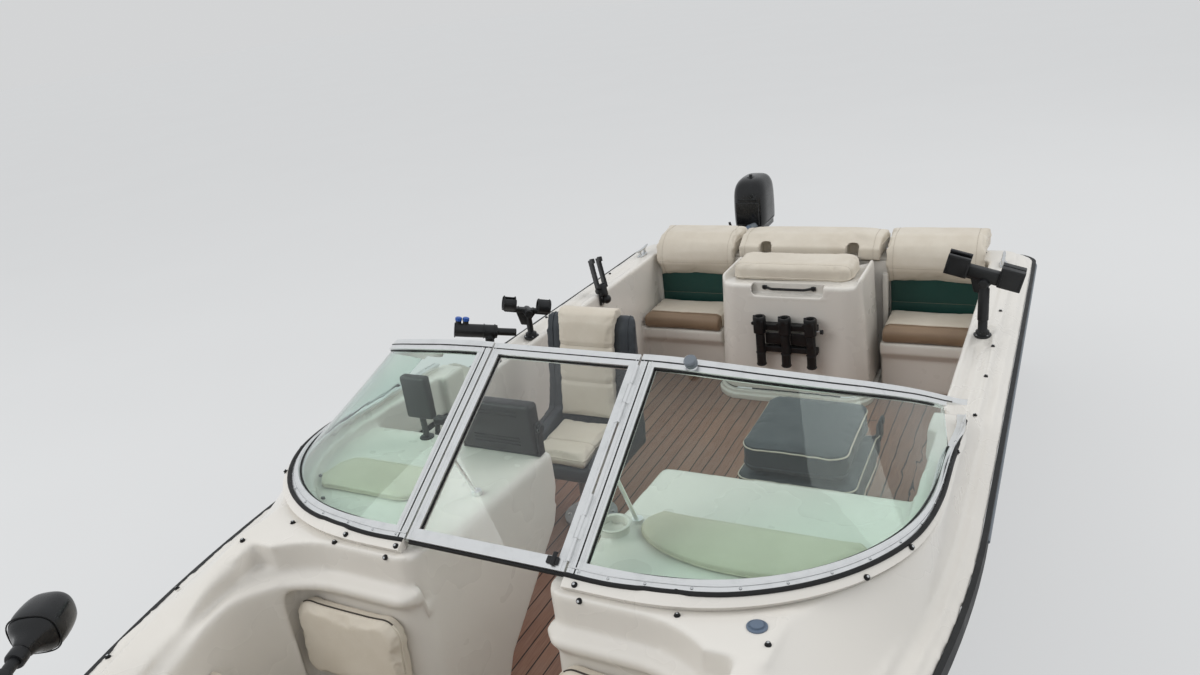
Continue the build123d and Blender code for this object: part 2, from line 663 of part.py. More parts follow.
def make_window_frame():
    _, height = window_plane()
    half = POST_X - WINDOW_GAP
    frame = window_slab(half, 2, height - 2, 0, FRAME_DEPTH)
    frame -= window_slab(half - 26, 2 + RAIL_BOTTOM, height - 2 - RAIL_TOP, -10, FRAME_DEPTH + 10)
    for z in HINGE_HEIGHTS:
        frame += hinge_piece(z, HINGE_PIN_R, HINGE_LENGTH * 3)
        for end in (-1, 1):
            place = z + end * (HINGE_LENGTH + 2)
            frame += hinge_piece(place, HINGE_TUBE_R) + hinge_tab(place, -1)
    return frame


def make_window_glass():
    _, height = window_plane()
    half = POST_X - WINDOW_GAP
    return window_slab(half - 26, 2 + RAIL_BOTTOM, height - 2 - RAIL_TOP, 10, 10 + GLASS)


def make_struts():
    """Rods from the back of each post down to the dash."""
    low, up, out, height = windshield_frames(WINDSHIELD_ROWS)[0]
    start = low + up * (0.45 * height) + Vector(22, 0, 0)
    foot_s = 3170
    foot = Vector(start.X, at(foot_s), windshield_base(foot_s) - DASH_DEPTH)
    direction = (foot - start).normalized()
    strut = rod(start + direction * 4, foot - direction * 10, 6)
    foot_plate = Pos(foot.X, foot.Y, foot.Z + 6) * Cylinder(16, 16) - below_windshield_base(SEAT_GAP - DASH_DEPTH)
    return both_sides(strut + foot_plate)


# Seats at the helm and passenger side
HELM_SEAT_X = -560
GUEST_SEAT_X = 450
SEAT_S = 2060
SEAT_CUSHION_Z = 400


def seat_pedestal():
    post = Pos(0, 0, 150) * Cylinder(38, 290)
    foot = Pos(0, 0, 8) * Cylinder(120, 15)
    return post + foot


def make_pedestals():
    column = Pos(0, at(SEAT_S), SEAT_GAP) * seat_pedestal()
    return Compound(children=[(Pos(x, 0, 0) * column).solid() for x in (HELM_SEAT_X, GUEST_SEAT_X)])


SEAT_BOTTOM_Z = 296


def seat_place(x):
    return Pos(x, at(SEAT_S), 0)


def make_helm_shell():
    """Bucket seat shell: pan, bolsters and back, open in front."""
    profile = ((-190, SEAT_BOTTOM_Z), (205, SEAT_BOTTOM_Z), (225, 330), (225, 395), (160, 420), (-120, 470),
               (-150, 560), (-205, 850), (-225, 900), (-262, 905), (-275, 880), (-235, 560), (-215, 380))
    shape = extrude(Plane.YZ * make_face(Polyline([(-s, z) for s, z in profile], close=True)), 232, both=True)
    hollow = ((-110, 378), (240, 378), (240, 1000), (-232, 1000), (-205, 880), (-150, 560))
    inner = extrude(Plane.YZ * make_face(Polyline([(-s, z) for s, z in hollow], close=True)), 140, both=True)
    shape &= extrude(Pos(0, 25) * RectangleRounded(464, 500, 70), 1000)
    plate = Pos(0, 0, SEAT_BOTTOM_Z + 4) * Cylinder(80, 8)
    return seat_place(HELM_SEAT_X) * (shape - inner + plate)


def make_helm_cushion():
    seat = ((-105, 378 + SEAT_GAP), (222, 378 + SEAT_GAP), (228, 410), (190, 432), (-100, 440))
    back = ((-118, 444), (-100, 446), (-190, 900), (-232, 912), (-224, 905), (-190, 880), (-146, 562))
    solids = []
    for points in (seat, back):
        face = make_face(Polyline([(-s, z) for s, z in points], close=True))
        solids += (seat_place(HELM_SEAT_X) * extrude(Plane.YZ * face, 140 - SEAT_GAP, both=True)).solids()
    return Compound(children=solids)


def make_passenger_seat():
    pan = Pos(0, 0, SEAT_BOTTOM_Z + 22) * Box(420, 420, 44)
    cushion = Pos(0, 0, SEAT_BOTTOM_Z + 44 + 62) * Box(464, 450, 124)
    cushion = fillet(cushion.edges().filter_by(Axis.Z), 50)
    ears = [Pos(side * 222, 240, SEAT_BOTTOM_Z + 142) * Box(8, 90, 174) for side in (-1, 1)]
    bore = Pos(0, BACK_HINGE_DY, BACK_HINGE_Z) * Rot(0, 90, 0) * Cylinder(6 + PIN_CLEARANCE, 600)
    return seat_place(GUEST_SEAT_X) * (pan + cushion + ears - bore)


BACK_HINGE_Z = 505
BACK_HINGE_DY = 262


def make_passenger_back():
    body = Pos(0, -5, BACK_HINGE_Z + 40) * Box(410, 450, 110)
    body = fillet(body.edges().filter_by(Axis.Z), 60)
    pin = Pos(0, BACK_HINGE_DY, BACK_HINGE_Z) * Rot(0, 90, 0) * Cylinder(6, 450)
    straps = [Pos(side * 150, 225, BACK_HINGE_Z + 6) * Box(30, 84, 24) for side in (-1, 1)]
    return seat_place(GUEST_SEAT_X) * (body + pin + straps)


# Helm
WHEEL_X = -560
WHEEL_RADIUS = 172
WHEEL_S = 2700
WHEEL_Z = 690
WHEEL_TILT = 28            # lean of the wheel's axis above level
WHEEL_SHAFT = 150
WHEEL_SHAFT_R = 12


def wheel_plane():
    axis = Vector(0, cos(radians(WHEEL_TILT)), sin(radians(WHEEL_TILT)))
    return Plane(origin=(WHEEL_X, at(WHEEL_S), WHEEL_Z), x_dir=(1, 0, 0), z_dir=axis)


def make_wheel():
    rim = Torus(WHEEL_RADIUS, 14)
    hub = Pos(0, 0, -20) * Cylinder(42, 36)
    spokes = []
    for angle in (90, 210, 330):
        spoke = Rot(0, 0, angle) * Pos(WHEEL_RADIUS / 2 + 10, 0, -8) * Box(WHEEL_RADIUS - 36, 34, 8)
        spokes.append(spoke)
    shaft = Pos(0, 0, -20 - WHEEL_SHAFT / 2) * Cylinder(WHEEL_SHAFT_R, WHEEL_SHAFT)
    return wheel_plane() * (rim + hub + spokes + shaft)


def wheel_column(radius, start, end):
    """Round length of the steering column, from start to end in front of the wheel."""
    return wheel_plane() * (Pos(0, 0, -(start + end) / 2) * Cylinder(radius, end - start))


def make_throttle():
    x = -(HALF_BEAM - COCKPIT_INSET) + SEAT_GAP
    box = block(x, x + 46, 2560, 2700, 470, 590)
    lever = side_prism(((2615, 560), (2640, 560), (2600, 720), (2575, 720)), x + 46, x + 58)
    knob = block(x + 46, x + 96, 2570, 2606, 714, 742)
    return box + lever + knob - cockpit_surround(SEAT_GAP)


def make_displays():
    dash_z = windshield_base(CONSOLE_AFT_S) - DASH_DEPTH
    big = block(-505, -215, 2850, 2905, dash_z + 12, dash_z + 190)
    big = fillet(big.edges().filter_by(Axis.Y), 14)
    foot = block(-400, -320, 2855, 2900, dash_z, dash_z + 20)
    post = block(-705, -675, 2860, 2885, dash_z, dash_z + 90)
    small = block(-745, -635, 2855, 2890, dash_z + 85, dash_z + 245)
    dash = below_windshield_base(SEAT_GAP - DASH_DEPTH)
    return Compound(children=[*(big + foot - dash).solids(), *(post + small - dash).solids()])


def make_dash_pads():
    """Soft pads on the dash: a long one in front of the helm, a half oval on the port side."""
    def dash_slab(plan, thickness):
        slab = extrude(plan & windshield_plan(62), 1200) & below_windshield_base(thickness - DASH_DEPTH)
        return slab - below_windshield_base(SEAT_GAP - DASH_DEPTH)

    helm_plan = Pos(-640, at(3190)) * Rectangle(420, 200)
    helm_plan = fillet(helm_plan.vertices(), 70)
    port_plan = (Pos(604, at(3190)) * Ellipse(310, 150)) & strip(3120, 3460, 2000)
    return Compound(children=[*dash_slab(helm_plan, 22).solids(), *dash_slab(port_plan, 26).solids()])


def cup_holder():
    """Round cup moulded onto the dash, beside the walk-through."""
    z = windshield_base(3250) - DASH_DEPTH
    return Pos(WALK_HALF + 42, at(3250), z + 20) * (Cylinder(41, 44) - Pos(0, 0, 6) * Cylinder(36, 44))


# Bow seating
def bench_cushion():
    z0 = BENCH_Z + SEAT_GAP
    plan = well_plan(WELL_INSET + 6) - strip(0, BENCH_AFT_S + 5)
    slab = extrude(plan, z0 + 70) - block(-FAR, FAR, 0, 6000, -1, z0)
    return slab - block(-FOOTWELL_HALF, FOOTWELL_HALF, 0, FOOTWELL_FRONT_S, -1, FAR)


PAD_THICKNESS = 46


def bow_backrests():
    """Pads on the bow faces of the consoles and on the sides of the well."""
    lean = atan2(CONSOLE_TOE, CONSOLE_NOSE_Z)
    pad = Box(400, PAD_THICKNESS, 230)
    pad = fillet(pad.edges().filter_by(Axis.Y), 60)
    pad_z = 570
    face_s = CONSOLE_FRONT_S + (CONSOLE_NOSE_Z - pad_z) * CONSOLE_TOE / CONSOLE_NOSE_Z
    aft_s = face_s + (PAD_THICKNESS / 2 + SEAT_GAP) / cos(lean)
    aft = Pos(430, at(aft_s), pad_z) * Rot(-degrees(lean), 0, 0) * pad
    band = well_plan(WELL_INSET + SEAT_GAP) - well_plan(WELL_INSET + PAD_THICKNESS)
    flank_plan = band & (Pos(FAR / 2, at(4080)) * Rectangle(FAR - 2 * WALK_HALF, 420))
    flank = Pos(0, 0, 465) * extrude(flank_plan, 190)
    return Compound(children=[*both_sides(aft).solids(), *both_sides(flank).solids()])


def make_bow_cushions():
    return Compound(children=[*bench_cushion().solids(), *bow_backrests().solids()])


# Deck hardware
def cleat():
    bar = Pos(0, 0, 34) * Rot(90, 0, 0) * Cylinder(8, 170)
    legs = [Pos(0, y, 16) * Cylinder(9, 32) for y in (-32, 32)]
    foot = Pos(0, 0, 3) * Box(34, 104, 6)
    return bar + legs + foot


CLEATS = (  # x, s
    (1000, 330),
    (560, 4650),
)


def cleats():
    solids = []
    for x, s in CLEATS:
        piece = Pos(x, at(s), sheer(s) + DECK_CROWN + 2) * cleat()
        piece = piece - below_sheer(DECK_CROWN)
        solids += both_sides(piece).solids()
    return Compound(children=solids)


EYE_RADIUS = 12
BOW_EYE_S = 5328
BOW_EYE_Z = 400


def eyes():
    bow = Pos(0, at(BOW_EYE_S), BOW_EYE_Z) * Rot(0, 90, 0) * (Cylinder(30, 12) - Cylinder(EYE_RADIUS, 20))
    stern = Rot(0, 90, 0) * (Cylinder(30, 12) - Cylinder(EYE_RADIUS, 20))
    stern = Pos(760, at(-34), 60) * stern
    stern += block(730, 790, -6, -SEAT_GAP, 20, 100)
    bow = bow - hull_form(0)
    return Compound(children=[*bow.solids(), *both_sides(stern).solids()])


def bow_light():
    s = 5330
    body = Pos(0, at(s), sheer(s) + DECK_CROWN + 24) * Box(70, 110, 60)
    return fillet((body - below_sheer(DECK_CROWN)).edges().group_by(Axis.Z)[-1], 14)


def make_deck_fittings():
    return Compound(children=[*cleats().solids(), *eyes().solids(), *bow_light().solids()])


# Rod holders on the gunwales: form, x, s, height above the deck, turn in plan, downward lean of its length
ROD_HOLDERS = (
    ("tube", -993, 2000, 160, 36, 13),
    ("cradle", -993, 1665, 168, 38, 16),
    ("fork", -934, 1027, 104, 150, -75),
    ("square", 992, 1290, 290, 0, 15),
)
HOLDER_POST_R = 15
HOLDER_BORE_R = 24


def tube_holder():
    """Closed tube with a collar, and two clamp knobs at its fore end."""
    body = Pos(-55, 0, 0) * Rot(0, 90, 0) * Cylinder(HOLDER_BORE_R + 6, 190)
    tail = Pos(80, 0, 0) * Rot(0, 90, 0) * Cylinder(17, 90)
    knobs = [Pos(x, 0, 42) * Cylinder(13, 34) for x in (-134, -102)]
    bore = Pos(-70, 0, 0) * Rot(0, 90, 0) * Cylinder(HOLDER_BORE_R - 4, 180)
    return body + tail + knobs - bore


def ring_holder(square):
    """Cradle of two rings, open on top, on a spine."""
    depth = 42 if square else 34
    length = 300 if square else 230
    ring = 90 if square else 64
    holder = Pos(0, 0, 8 - depth) * Box(length - 20, 36, 22)
    for end in (-1, 1):
        if square:
            outside = Pos(0, 0, 0) * Box(ring, 2 * depth, 2 * depth)
            inside = Box(ring + 10, 2 * depth - 22, 2 * depth - 22)
        else:
            outside = Rot(0, 90, 0) * Cylinder(depth, ring)
            inside = Rot(0, 90, 0) * Cylinder(depth - 8, ring + 10)
        slot = Pos(0, 0, depth) * Box(ring + 10, depth if end < 0 else 8, depth)
        holder += Pos(end * (length - ring) / 2, 0, 0) * (outside - inside - slot)
    return holder


def fork_holder():
    """Two open prongs above a round socket."""
    socket = Pos(-70, 0, 0) * Rot(0, 90, 0) * Cylinder(26, 60)
    prongs = [Pos(20, side * 24, 0) * Box(160, 12, 40) for side in (-1, 1)]
    bridge = Pos(-48, 0, 0) * Box(24, 56, 40)
    tips = [Pos(94, side * 24, 18) * Box(26, 14, 34) for side in (-1, 1)]
    return socket + prongs + bridge + tips


def holder_place(row):
    """Where a rod holder's head sits, with x along it."""
    form, x, s, height, turn, lean = row
    return Pos(x, at(s), sheer(s) + DECK_CROWN - CHANNEL_DEPTH + height) * Rot(0, 0, turn) * Rot(0, lean, 0)


def holder_post(row):
    """Foot in the gunwale's channel, post and clamp under the head."""
    form, x, s, height, turn, lean = row
    seat = 44 if form == "square" else 30
    foot = Pos(0, 0, 5) * Cylinder(36, 14) + Pos(0, 0, 18) * Cylinder(24, 22)
    post = Pos(0, 0, (height - seat) / 2) * Cylinder(HOLDER_POST_R, height - seat + 12)
    clamp = Pos(0, 0, height - seat - 4) * Rot(0, 0, turn) * Rot(90, 0, 0) * Cylinder(20, 62)
    return Pos(x, at(s), sheer(s) + DECK_CROWN - CHANNEL_DEPTH) * (foot + post + clamp)


def fork_mount(row):
    """Flange on the inner side of the gunwale, and the ball that carries the fork."""
    form, x, s, height, turn, lean = row
    edge = COCKPIT_INSET - HALF_BEAM
    z = sheer(s) + 6
    flange = Pos(edge + 5, at(s), z) * Box(10, 76, 54)
    ball = Pos(edge + 26, at(s), z) * Sphere(25)
    neck = rod((edge + 26, at(s), z), tuple((holder_place(row) * Pos(-60, 0, 0)).position), 13)
    return flange + ball + neck


def make_rod_holders():
    surround = cockpit_surround(SEAT_GAP)
    heads = {"tube": tube_holder(), "fork": fork_holder(), "cradle": ring_holder(False), "square": ring_holder(True)}
    solids = []
    for row in ROD_HOLDERS:
        mount = fork_mount(row) if row[0] == "fork" else holder_post(row)
        solids += (holder_place(row) * heads[row[0]] + mount - surround).solids()
    return Compound(children=solids)


# Sterndrive: transom plate, gimbal ring that steers, leg that tilts in the ring, propeller
DRIVE_STEER_Y = 112        # distances aft of the transom
DRIVE_TILT_Y = DRIVE_STEER_Y + 24
DRIVE_PIVOT_Z = 20
GIMBAL_HALF_HEIGHT = 100
GIMBAL_HALF_WIDTH = 112
GIMBAL_HALF_DEPTH = 32
GIMBAL_BAR = 25
STEER_PIN_R = 16
TILT_PIN_R = 12
PROP_RADIUS = 185
GEARCASE_AFT = 375          # from the tilt axis aft to the end of the gearcase
DRIVE_HUB = 100
DRIVE_PROP_Y = DRIVE_TILT_Y + GEARCASE_AFT + SEAT_GAP + DRIVE_HUB / 2
DRIVE_PROP_Z = -500


def behind(distance):
    return TRANSOM_Y + distance


def make_transom_plate():
    plate = Pos(0, behind(11 + SEAT_GAP), -40) * Box(320, 22, 400)
    plate = fillet(plate.edges().filter_by(Axis.Y), 60)
    lug_z = GIMBAL_HALF_HEIGHT + 16
    reach = DRIVE_STEER_Y + STEER_PIN_R + 12
    for side in (-1, 1):
        plate += Pos(0, behind(reach / 2 + 6), DRIVE_PIVOT_Z + side * lug_z) * Box(80, reach - 12, 28)
    steer_bore = Pos(0, behind(DRIVE_STEER_Y), DRIVE_PIVOT_Z) * Cylinder(STEER_PIN_R + PIN_CLEARANCE, 2 * lug_z + 60)
    return plate - steer_bore


def make_gimbal():
    outside = Box(2 * GIMBAL_HALF_WIDTH, 2 * GIMBAL_HALF_DEPTH, 2 * GIMBAL_HALF_HEIGHT)
    inside = Box(2 * (GIMBAL_HALF_WIDTH - GIMBAL_BAR), 3 * GIMBAL_HALF_DEPTH, 2 * (GIMBAL_HALF_HEIGHT - GIMBAL_BAR))
    ring = Pos(0, behind(DRIVE_TILT_Y), DRIVE_PIVOT_Z) * (outside - inside)
    for side in (-1, 1):
        pin_z = DRIVE_PIVOT_Z + side * (GIMBAL_HALF_HEIGHT + 12)
        ring += Pos(0, behind(DRIVE_STEER_Y), pin_z) * Cylinder(STEER_PIN_R, 30)
    tilt_bore = Pos(0, behind(DRIVE_TILT_Y), DRIVE_PIVOT_Z) * Rot(0, 90, 0) * Cylinder(TILT_PIN_R + PIN_CLEARANCE, 400)
    return ring - tilt_bore


def aft_of_tilt(distance):
    return behind(DRIVE_TILT_Y + distance)


def make_drive():
    pivot = Pos(0, aft_of_tilt(0), DRIVE_PIVOT_Z) * Rot(0, 90, 0)
    lug = pivot * Cylinder(34, 2 * (GIMBAL_HALF_WIDTH - GIMBAL_BAR) - 12)
    pin = pivot * Cylinder(TILT_PIN_R, 2 * GIMBAL_HALF_WIDTH)
    neck = Pos(0, aft_of_tilt(36), DRIVE_PIVOT_Z) * Box(120, 72, 44)
    upper = Pos(0, aft_of_tilt(160), -50) * Box(150, 190, 170)
    upper = fillet(upper.edges().filter_by(Axis.Z), 50)
    leg = Pos(0, aft_of_tilt(170), -300) * Box(66, 180, 400)
    leg = fillet(leg.edges().filter_by(Axis.Z), 28)
    plate = Pos(0, aft_of_tilt(240), -285) * Box(240, 400, 14)
    gearcase = Pos(0, aft_of_tilt(GEARCASE_AFT - 160), DRIVE_PROP_Z) * Rot(90, 0, 0) * Cylinder(56, 320)
    gearcase = fillet(gearcase.edges().sort_by(Axis.Y)[0], 50)
    skeg = Pos(0, aft_of_tilt(190), -600) * Box(14, 180, 130)
    return lug + pin + neck + upper + leg + plate + gearcase + skeg


def propeller(radius, hub_radius, hub_length, blades, thickness):
    screw = Rot(90, 0, 0) * Cylinder(hub_radius, hub_length)
    for index in range(blades):
        blade = Pos(0, 0, (radius + hub_radius) / 2 - 4) * Rot(0, 0, 32) * Box(
            radius * 0.72, thickness, radius - hub_radius + 8)
        trimmed = blade & (Rot(90, 0, 0) * Cylinder(radius, radius * 2))
        screw += Rot(0, index * 360 / blades, 0) * trimmed
    return screw


def make_drive_propeller():
    return Pos(0, behind(DRIVE_PROP_Y), DRIVE_PROP_Z) * propeller(PROP_RADIUS, 50, DRIVE_HUB, 3, 9)


# Kicker outboard on its own bracket: tilt pivot, steering tube, motor and propeller
KICKER_X = -540
KICKER_WALL_Z = (110, 340)
KICKER_BOARD_Z = (280, 530)
KICKER_BOARD_Y = 290       # distances aft of the transom
KICKER_TILT_Y = 352
KICKER_TILT_Z = 560
KICKER_PIN_R = 8
KICKER_LUG_R = 24
KICKER_STEER_Y = 404
KICKER_TUBE_Z = (370, 540)
KICKER_SHAFT_R = 17
KICKER_PAN_Z = (612, 648)
KICKER_LEG_BACK = 84       # from the steering tube back to the middle of the leg
KICKER_PROP_Z = -140


def make_kicker_bracket():
    wall_low, wall_high = KICKER_WALL_Z
    board_low, board_high = KICKER_BOARD_Z
    wall = Pos(0, behind(10 + SEAT_GAP), (wall_low + wall_high) / 2) * Box(190, 20, wall_high - wall_low)
    board = Pos(0, behind(KICKER_BOARD_Y), (board_low + board_high) / 2) * Box(180, 36, board_high - board_low)
    web = ((-15, wall_low + 10), (-15, wall_high - 10), (10 - KICKER_BOARD_Y, wall_high - 10),
           (10 - KICKER_BOARD_Y, board_low + 5))
    arms = [side_prism(web, side * 70 - 8, side * 70 + 8) for side in (-1, 1)]
    strut = ((-KICKER_BOARD_Y, board_high - 90), (-KICKER_BOARD_Y, board_high), (-KICKER_TILT_Y, KICKER_TILT_Z),
             (-KICKER_TILT_Y - KICKER_LUG_R, KICKER_TILT_Z), (-KICKER_TILT_Y - KICKER_LUG_R, KICKER_TILT_Z - 40))
    lug = Pos(0, behind(KICKER_TILT_Y), KICKER_TILT_Z) * Rot(0, 90, 0) * Cylinder(KICKER_LUG_R, 16)
    ears = []
    for x in (-60, 60):
        ears.append(side_prism(strut, x - 8, x + 8) + Pos(x, 0, 0) * lug)
    bore = Pos(0, behind(KICKER_TILT_Y), KICKER_TILT_Z) * Rot(0, 90, 0) * Cylinder(KICKER_PIN_R + PIN_CLEARANCE, 200)
    return Pos(KICKER_X, 0, 0) * (wall + board + arms + ears - bore)


def make_kicker_swivel():
    low, high = KICKER_TUBE_Z
    tube = Pos(0, behind(KICKER_STEER_Y), (low + high) / 2) * Cylinder(28, high - low)
    arm = Pos(0, behind(KICKER_TILT_Y + 14), KICKER_TILT_Z - 22) * Box(88, 60, 20)
    knuckle = Pos(0, behind(KICKER_TILT_Y), KICKER_TILT_Z) * Rot(0, 90, 0) * Cylinder(18, 88)
    pin = Pos(0, behind(KICKER_TILT_Y), KICKER_TILT_Z) * Rot(0, 90, 0) * Cylinder(KICKER_PIN_R, 140)
    web = Pos(0, behind(KICKER_TILT_Y + 30), KICKER_TILT_Z - 50) * Box(60, 40, 40)
    bore = Pos(0, behind(KICKER_STEER_Y), (low + high) / 2) * Cylinder(KICKER_SHAFT_R + PIN_CLEARANCE, 400)
    return Pos(KICKER_X, 0, 0) * (tube + arm + knuckle + pin + web - bore)


def make_kicker_leg():
    low, high = KICKER_TUBE_Z
    steer = behind(KICKER_STEER_Y)
    back = steer + KICKER_LEG_BACK
    shaft_low = low - 36
    shaft_high = KICKER_PAN_Z[0] + 4
    shaft = Pos(0, steer, (shaft_low + shaft_high) / 2) * Cylinder(KICKER_SHAFT_R, shaft_high - shaft_low)
    yoke = Pos(0, steer + 40, low - 24) * Box(56, 110, 36)
    foot_z = KICKER_PROP_Z + 20
    leg = Pos(0, back, (foot_z + KICKER_PAN_Z[0] + 4) / 2) * Box(44, 90, KICKER_PAN_Z[0] + 4 - foot_z)
    leg = fillet(leg.edges().filter_by(Axis.Z), 18)
    pan = Pos(0, steer + 67, sum(KICKER_PAN_Z) / 2) * Box(170, 214, KICKER_PAN_Z[1] - KICKER_PAN_Z[0])
    plate = Pos(0, back + 34, KICKER_PROP_Z + 122) * Box(120, 190, 8)
    gearcase = Pos(0, back + 14, KICKER_PROP_Z) * Rot(90, 0, 0) * Cylinder(30, 190)
    skeg = Pos(0, back - 6, KICKER_PROP_Z - 55) * Box(8, 90, 70)
    grip_z = KICKER_PAN_Z[1] + 22
    grip = rod((-12, behind(84), grip_z), (62, steer - 32, grip_z), 17)
    root = Pos(60, steer - 10, (KICKER_PAN_Z[0] + grip_z) / 2 + 8) * Box(40, 60, grip_z - KICKER_PAN_Z[0] + 16)
    return Pos(KICKER_X, 0, 0) * (leg + shaft + yoke + pan + plate + gearcase + skeg + grip + root)


def make_kicker_cowl():
    height = 305
    cowl = Pos(0, behind(KICKER_STEER_Y + 52), KICKER_PAN_Z[1] + SEAT_GAP + height / 2) * Box(216, 310, height)
    cowl = fillet(cowl.edges().filter_by(Axis.Z), 70)
    cowl = fillet(cowl.faces().sort_by(Axis.Z)[-1].edges(), 60)
    clear = Pos(54, behind(KICKER_STEER_Y - 40), KICKER_PAN_Z[1] + 22) * Box(76, 130, 60)
    return Pos(KICKER_X, 0, 0) * (cowl - clear)


def make_kicker_propeller():
    shaft_end = KICKER_STEER_Y + KICKER_LEG_BACK + 14 + 95
    return Pos(KICKER_X, behind(shaft_end + SEAT_GAP + 29), KICKER_PROP_Z) * propeller(105, 24, 58, 3, 6)


# Trolling motor, stowed along the starboard foredeck: x, s and z of the shaft's two ends
TROLL_HEAD = (-760, 4230, 1030)
TROLL_POD = (-190, 5210, 1010)
TROLL_SHAFT_R = 14
TROLL_POD_R = 42
TROLL_PROP_R = 108


def troll_plane():
    """Plane at the head's end of the shaft, with z along the shaft and x level."""
    head = Vector(TROLL_HEAD[0], at(TROLL_HEAD[1]), TROLL_HEAD[2])
    pod = Vector(TROLL_POD[0], at(TROLL_POD[1]), TROLL_POD[2])
    along = (pod - head).normalized()
    level = along.cross(Vector(0, 0, 1)).normalized()
    return Plane(origin=head, x_dir=level, z_dir=along), (pod - head).length


def make_trolling_mount():
    """Deck bracket with a clamp near the pod, and a rest under the head's end of the shaft."""
    plane, length = troll_plane()
    clamp = plane * Pos(0, 0, length - 330) * Box(60, 60, 90)
    low = plane * Pos(0, 0, 190) * Box(44, 44, 40)
    solids = []
    for block_shape, foot_size in ((clamp, (110, 240)), (low, (60, 60))):
        middle = block_shape.center()
        foot = Pos(middle.X, middle.Y, 900) * Box(*foot_size, 220)
        foot -= below_sheer(DECK_CROWN)
        piece = block_shape + foot
        solids.append(piece - plane * Pos(0, 0, length / 2) * Cylinder(TROLL_SHAFT_R + SEAT_GAP, 2 * length))
    return Compound(children=[solid for piece in solids for solid in piece.solids()])


def make_trolling_motor():
    plane, length = troll_plane()
    shaft = Pos(0, 0, length / 2) * Cylinder(TROLL_SHAFT_R, length - 60)
    head = fillet((Pos(0, 0, -40) * Box(120, 110, 170)).edges(), 30)
    pod = Pos(0, 0, length) * Rot(0, 90, 0) * Cylinder(TROLL_POD_R, 300)
    return plane * (shaft + head + pod)


def make_trolling_propeller():
    plane, length = troll_plane()
    hub = 60
    screw = Rot(0, 0, 90) * propeller(TROLL_PROP_R, 32, hub, 2, 6)
    return plane * Pos(150 + hub / 2 + SEAT_GAP, 0, length) * screw


def build():
    pieces = {
        "hull": make_hull(),
        "deck": make_deck(),
        "rub_rail": make_rub_rail(),
        "cockpit_sole": make_sole(),
        "cockpit_liner": make_cockpit_liner(),
        "bow_liner": make_bow_liner(),
        "helm_console": make_helm_console(),
        "port_console": make_port_console(),
        "engine_box": make_engine_box(),
        "engine_box_handle": make_box_handle(),
        "engine_box_pad": make_box_pad(),
        "engine_box_plinth": make_box_plinth(),
        "engine_block": make_engine(),
        "rod_rack": make_rod_rack(),
        "jump_seat_bases": make_jump_bases(),
        "aft_panels": make_aft_panels(),
        "aft_cushions": make_aft_cushions(),
        "windshield_frame": make_windshield_frame(),
        "windshield_glass": make_windshield_glass(),
        "windshield_gasket": make_gasket(),
        "centre_window_frame": make_window_frame(),
        "centre_window_glass": make_window_glass(),
        "seat_pedestals": make_pedestals(),
        "helm_seat_shell": make_helm_shell(),
        "helm_seat_cushion": make_helm_cushion(),
        "passenger_seat": make_passenger_seat(),
        "passenger_backrest": make_passenger_back(),
        "steering_wheel": make_wheel(),
        "throttle": make_throttle(),
        "displays": make_displays(),
        "dash_pads": make_dash_pads(),
        "bow_cushions": make_bow_cushions(),
        "deck_fittings": make_deck_fittings(),
        "rod_holders": make_rod_holders(),
        "drive_transom_plate": make_transom_plate(),
        "drive_gimbal": make_gimbal(),
        "drive_leg": make_drive(),
        "drive_propeller": make_drive_propeller(),
        "kicker_bracket": make_kicker_bracket(),
        "kicker_swivel": make_kicker_swivel(),
        "kicker_leg": make_kicker_leg(),
        "kicker_cowl": make_kicker_cowl(),
        "kicker_propeller": make_kicker_propeller(),
        "trolling_mount": make_trolling_mount(),
        "trolling_motor": make_trolling_motor(),
        "trolling_propeller": make_trolling_propeller(),
    }
    return pieces


if __name__ == "__main__":
    os.makedirs("parts", exist_ok=True)
    for name, shape in build().items():
        export_step(shape, f"parts/{name}.step")
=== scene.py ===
"""Finishes a bowrider runabout: gelcoat mouldings, vinyl upholstery, framed windshield, motors and deck hardware."""
import math

import bmesh
import bpy
from mathutils import Matrix, Vector
from mathutils.bvhtree import BVHTree


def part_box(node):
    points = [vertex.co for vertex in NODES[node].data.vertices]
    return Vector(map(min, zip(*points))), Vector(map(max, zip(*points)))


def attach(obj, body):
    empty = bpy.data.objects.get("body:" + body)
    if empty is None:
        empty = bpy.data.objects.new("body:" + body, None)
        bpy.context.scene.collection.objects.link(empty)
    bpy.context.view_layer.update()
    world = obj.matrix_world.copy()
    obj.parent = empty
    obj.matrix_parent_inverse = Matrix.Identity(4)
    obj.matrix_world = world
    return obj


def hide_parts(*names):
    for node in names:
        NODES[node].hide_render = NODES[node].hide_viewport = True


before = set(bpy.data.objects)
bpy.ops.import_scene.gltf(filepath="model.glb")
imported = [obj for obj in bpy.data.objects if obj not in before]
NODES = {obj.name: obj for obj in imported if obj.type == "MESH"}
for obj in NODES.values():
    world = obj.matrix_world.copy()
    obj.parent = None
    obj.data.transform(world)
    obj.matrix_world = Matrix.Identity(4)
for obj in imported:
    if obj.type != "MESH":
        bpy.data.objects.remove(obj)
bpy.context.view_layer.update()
SCENE = bpy.context.scene
MM = 0.001

TRANSOM_Y = 2.760
UP = Vector((0, 0, 1))
AFT = Vector((0, 1, 0))
PORT = Vector((1, 0, 0))
SIDES = (-1, 1)


def at(s):
    """Y of a station s metres forward of the transom."""
    return TRANSOM_Y - s


def sheer(s):
    """Height of the deck edge at a station."""
    return 0.620 + 0.018 * s + 0.004 * s * s


def windshield_base(s):
    """Height of the windshield's base line at a station."""
    return 0.840 + 0.06 * (s - 2.350)


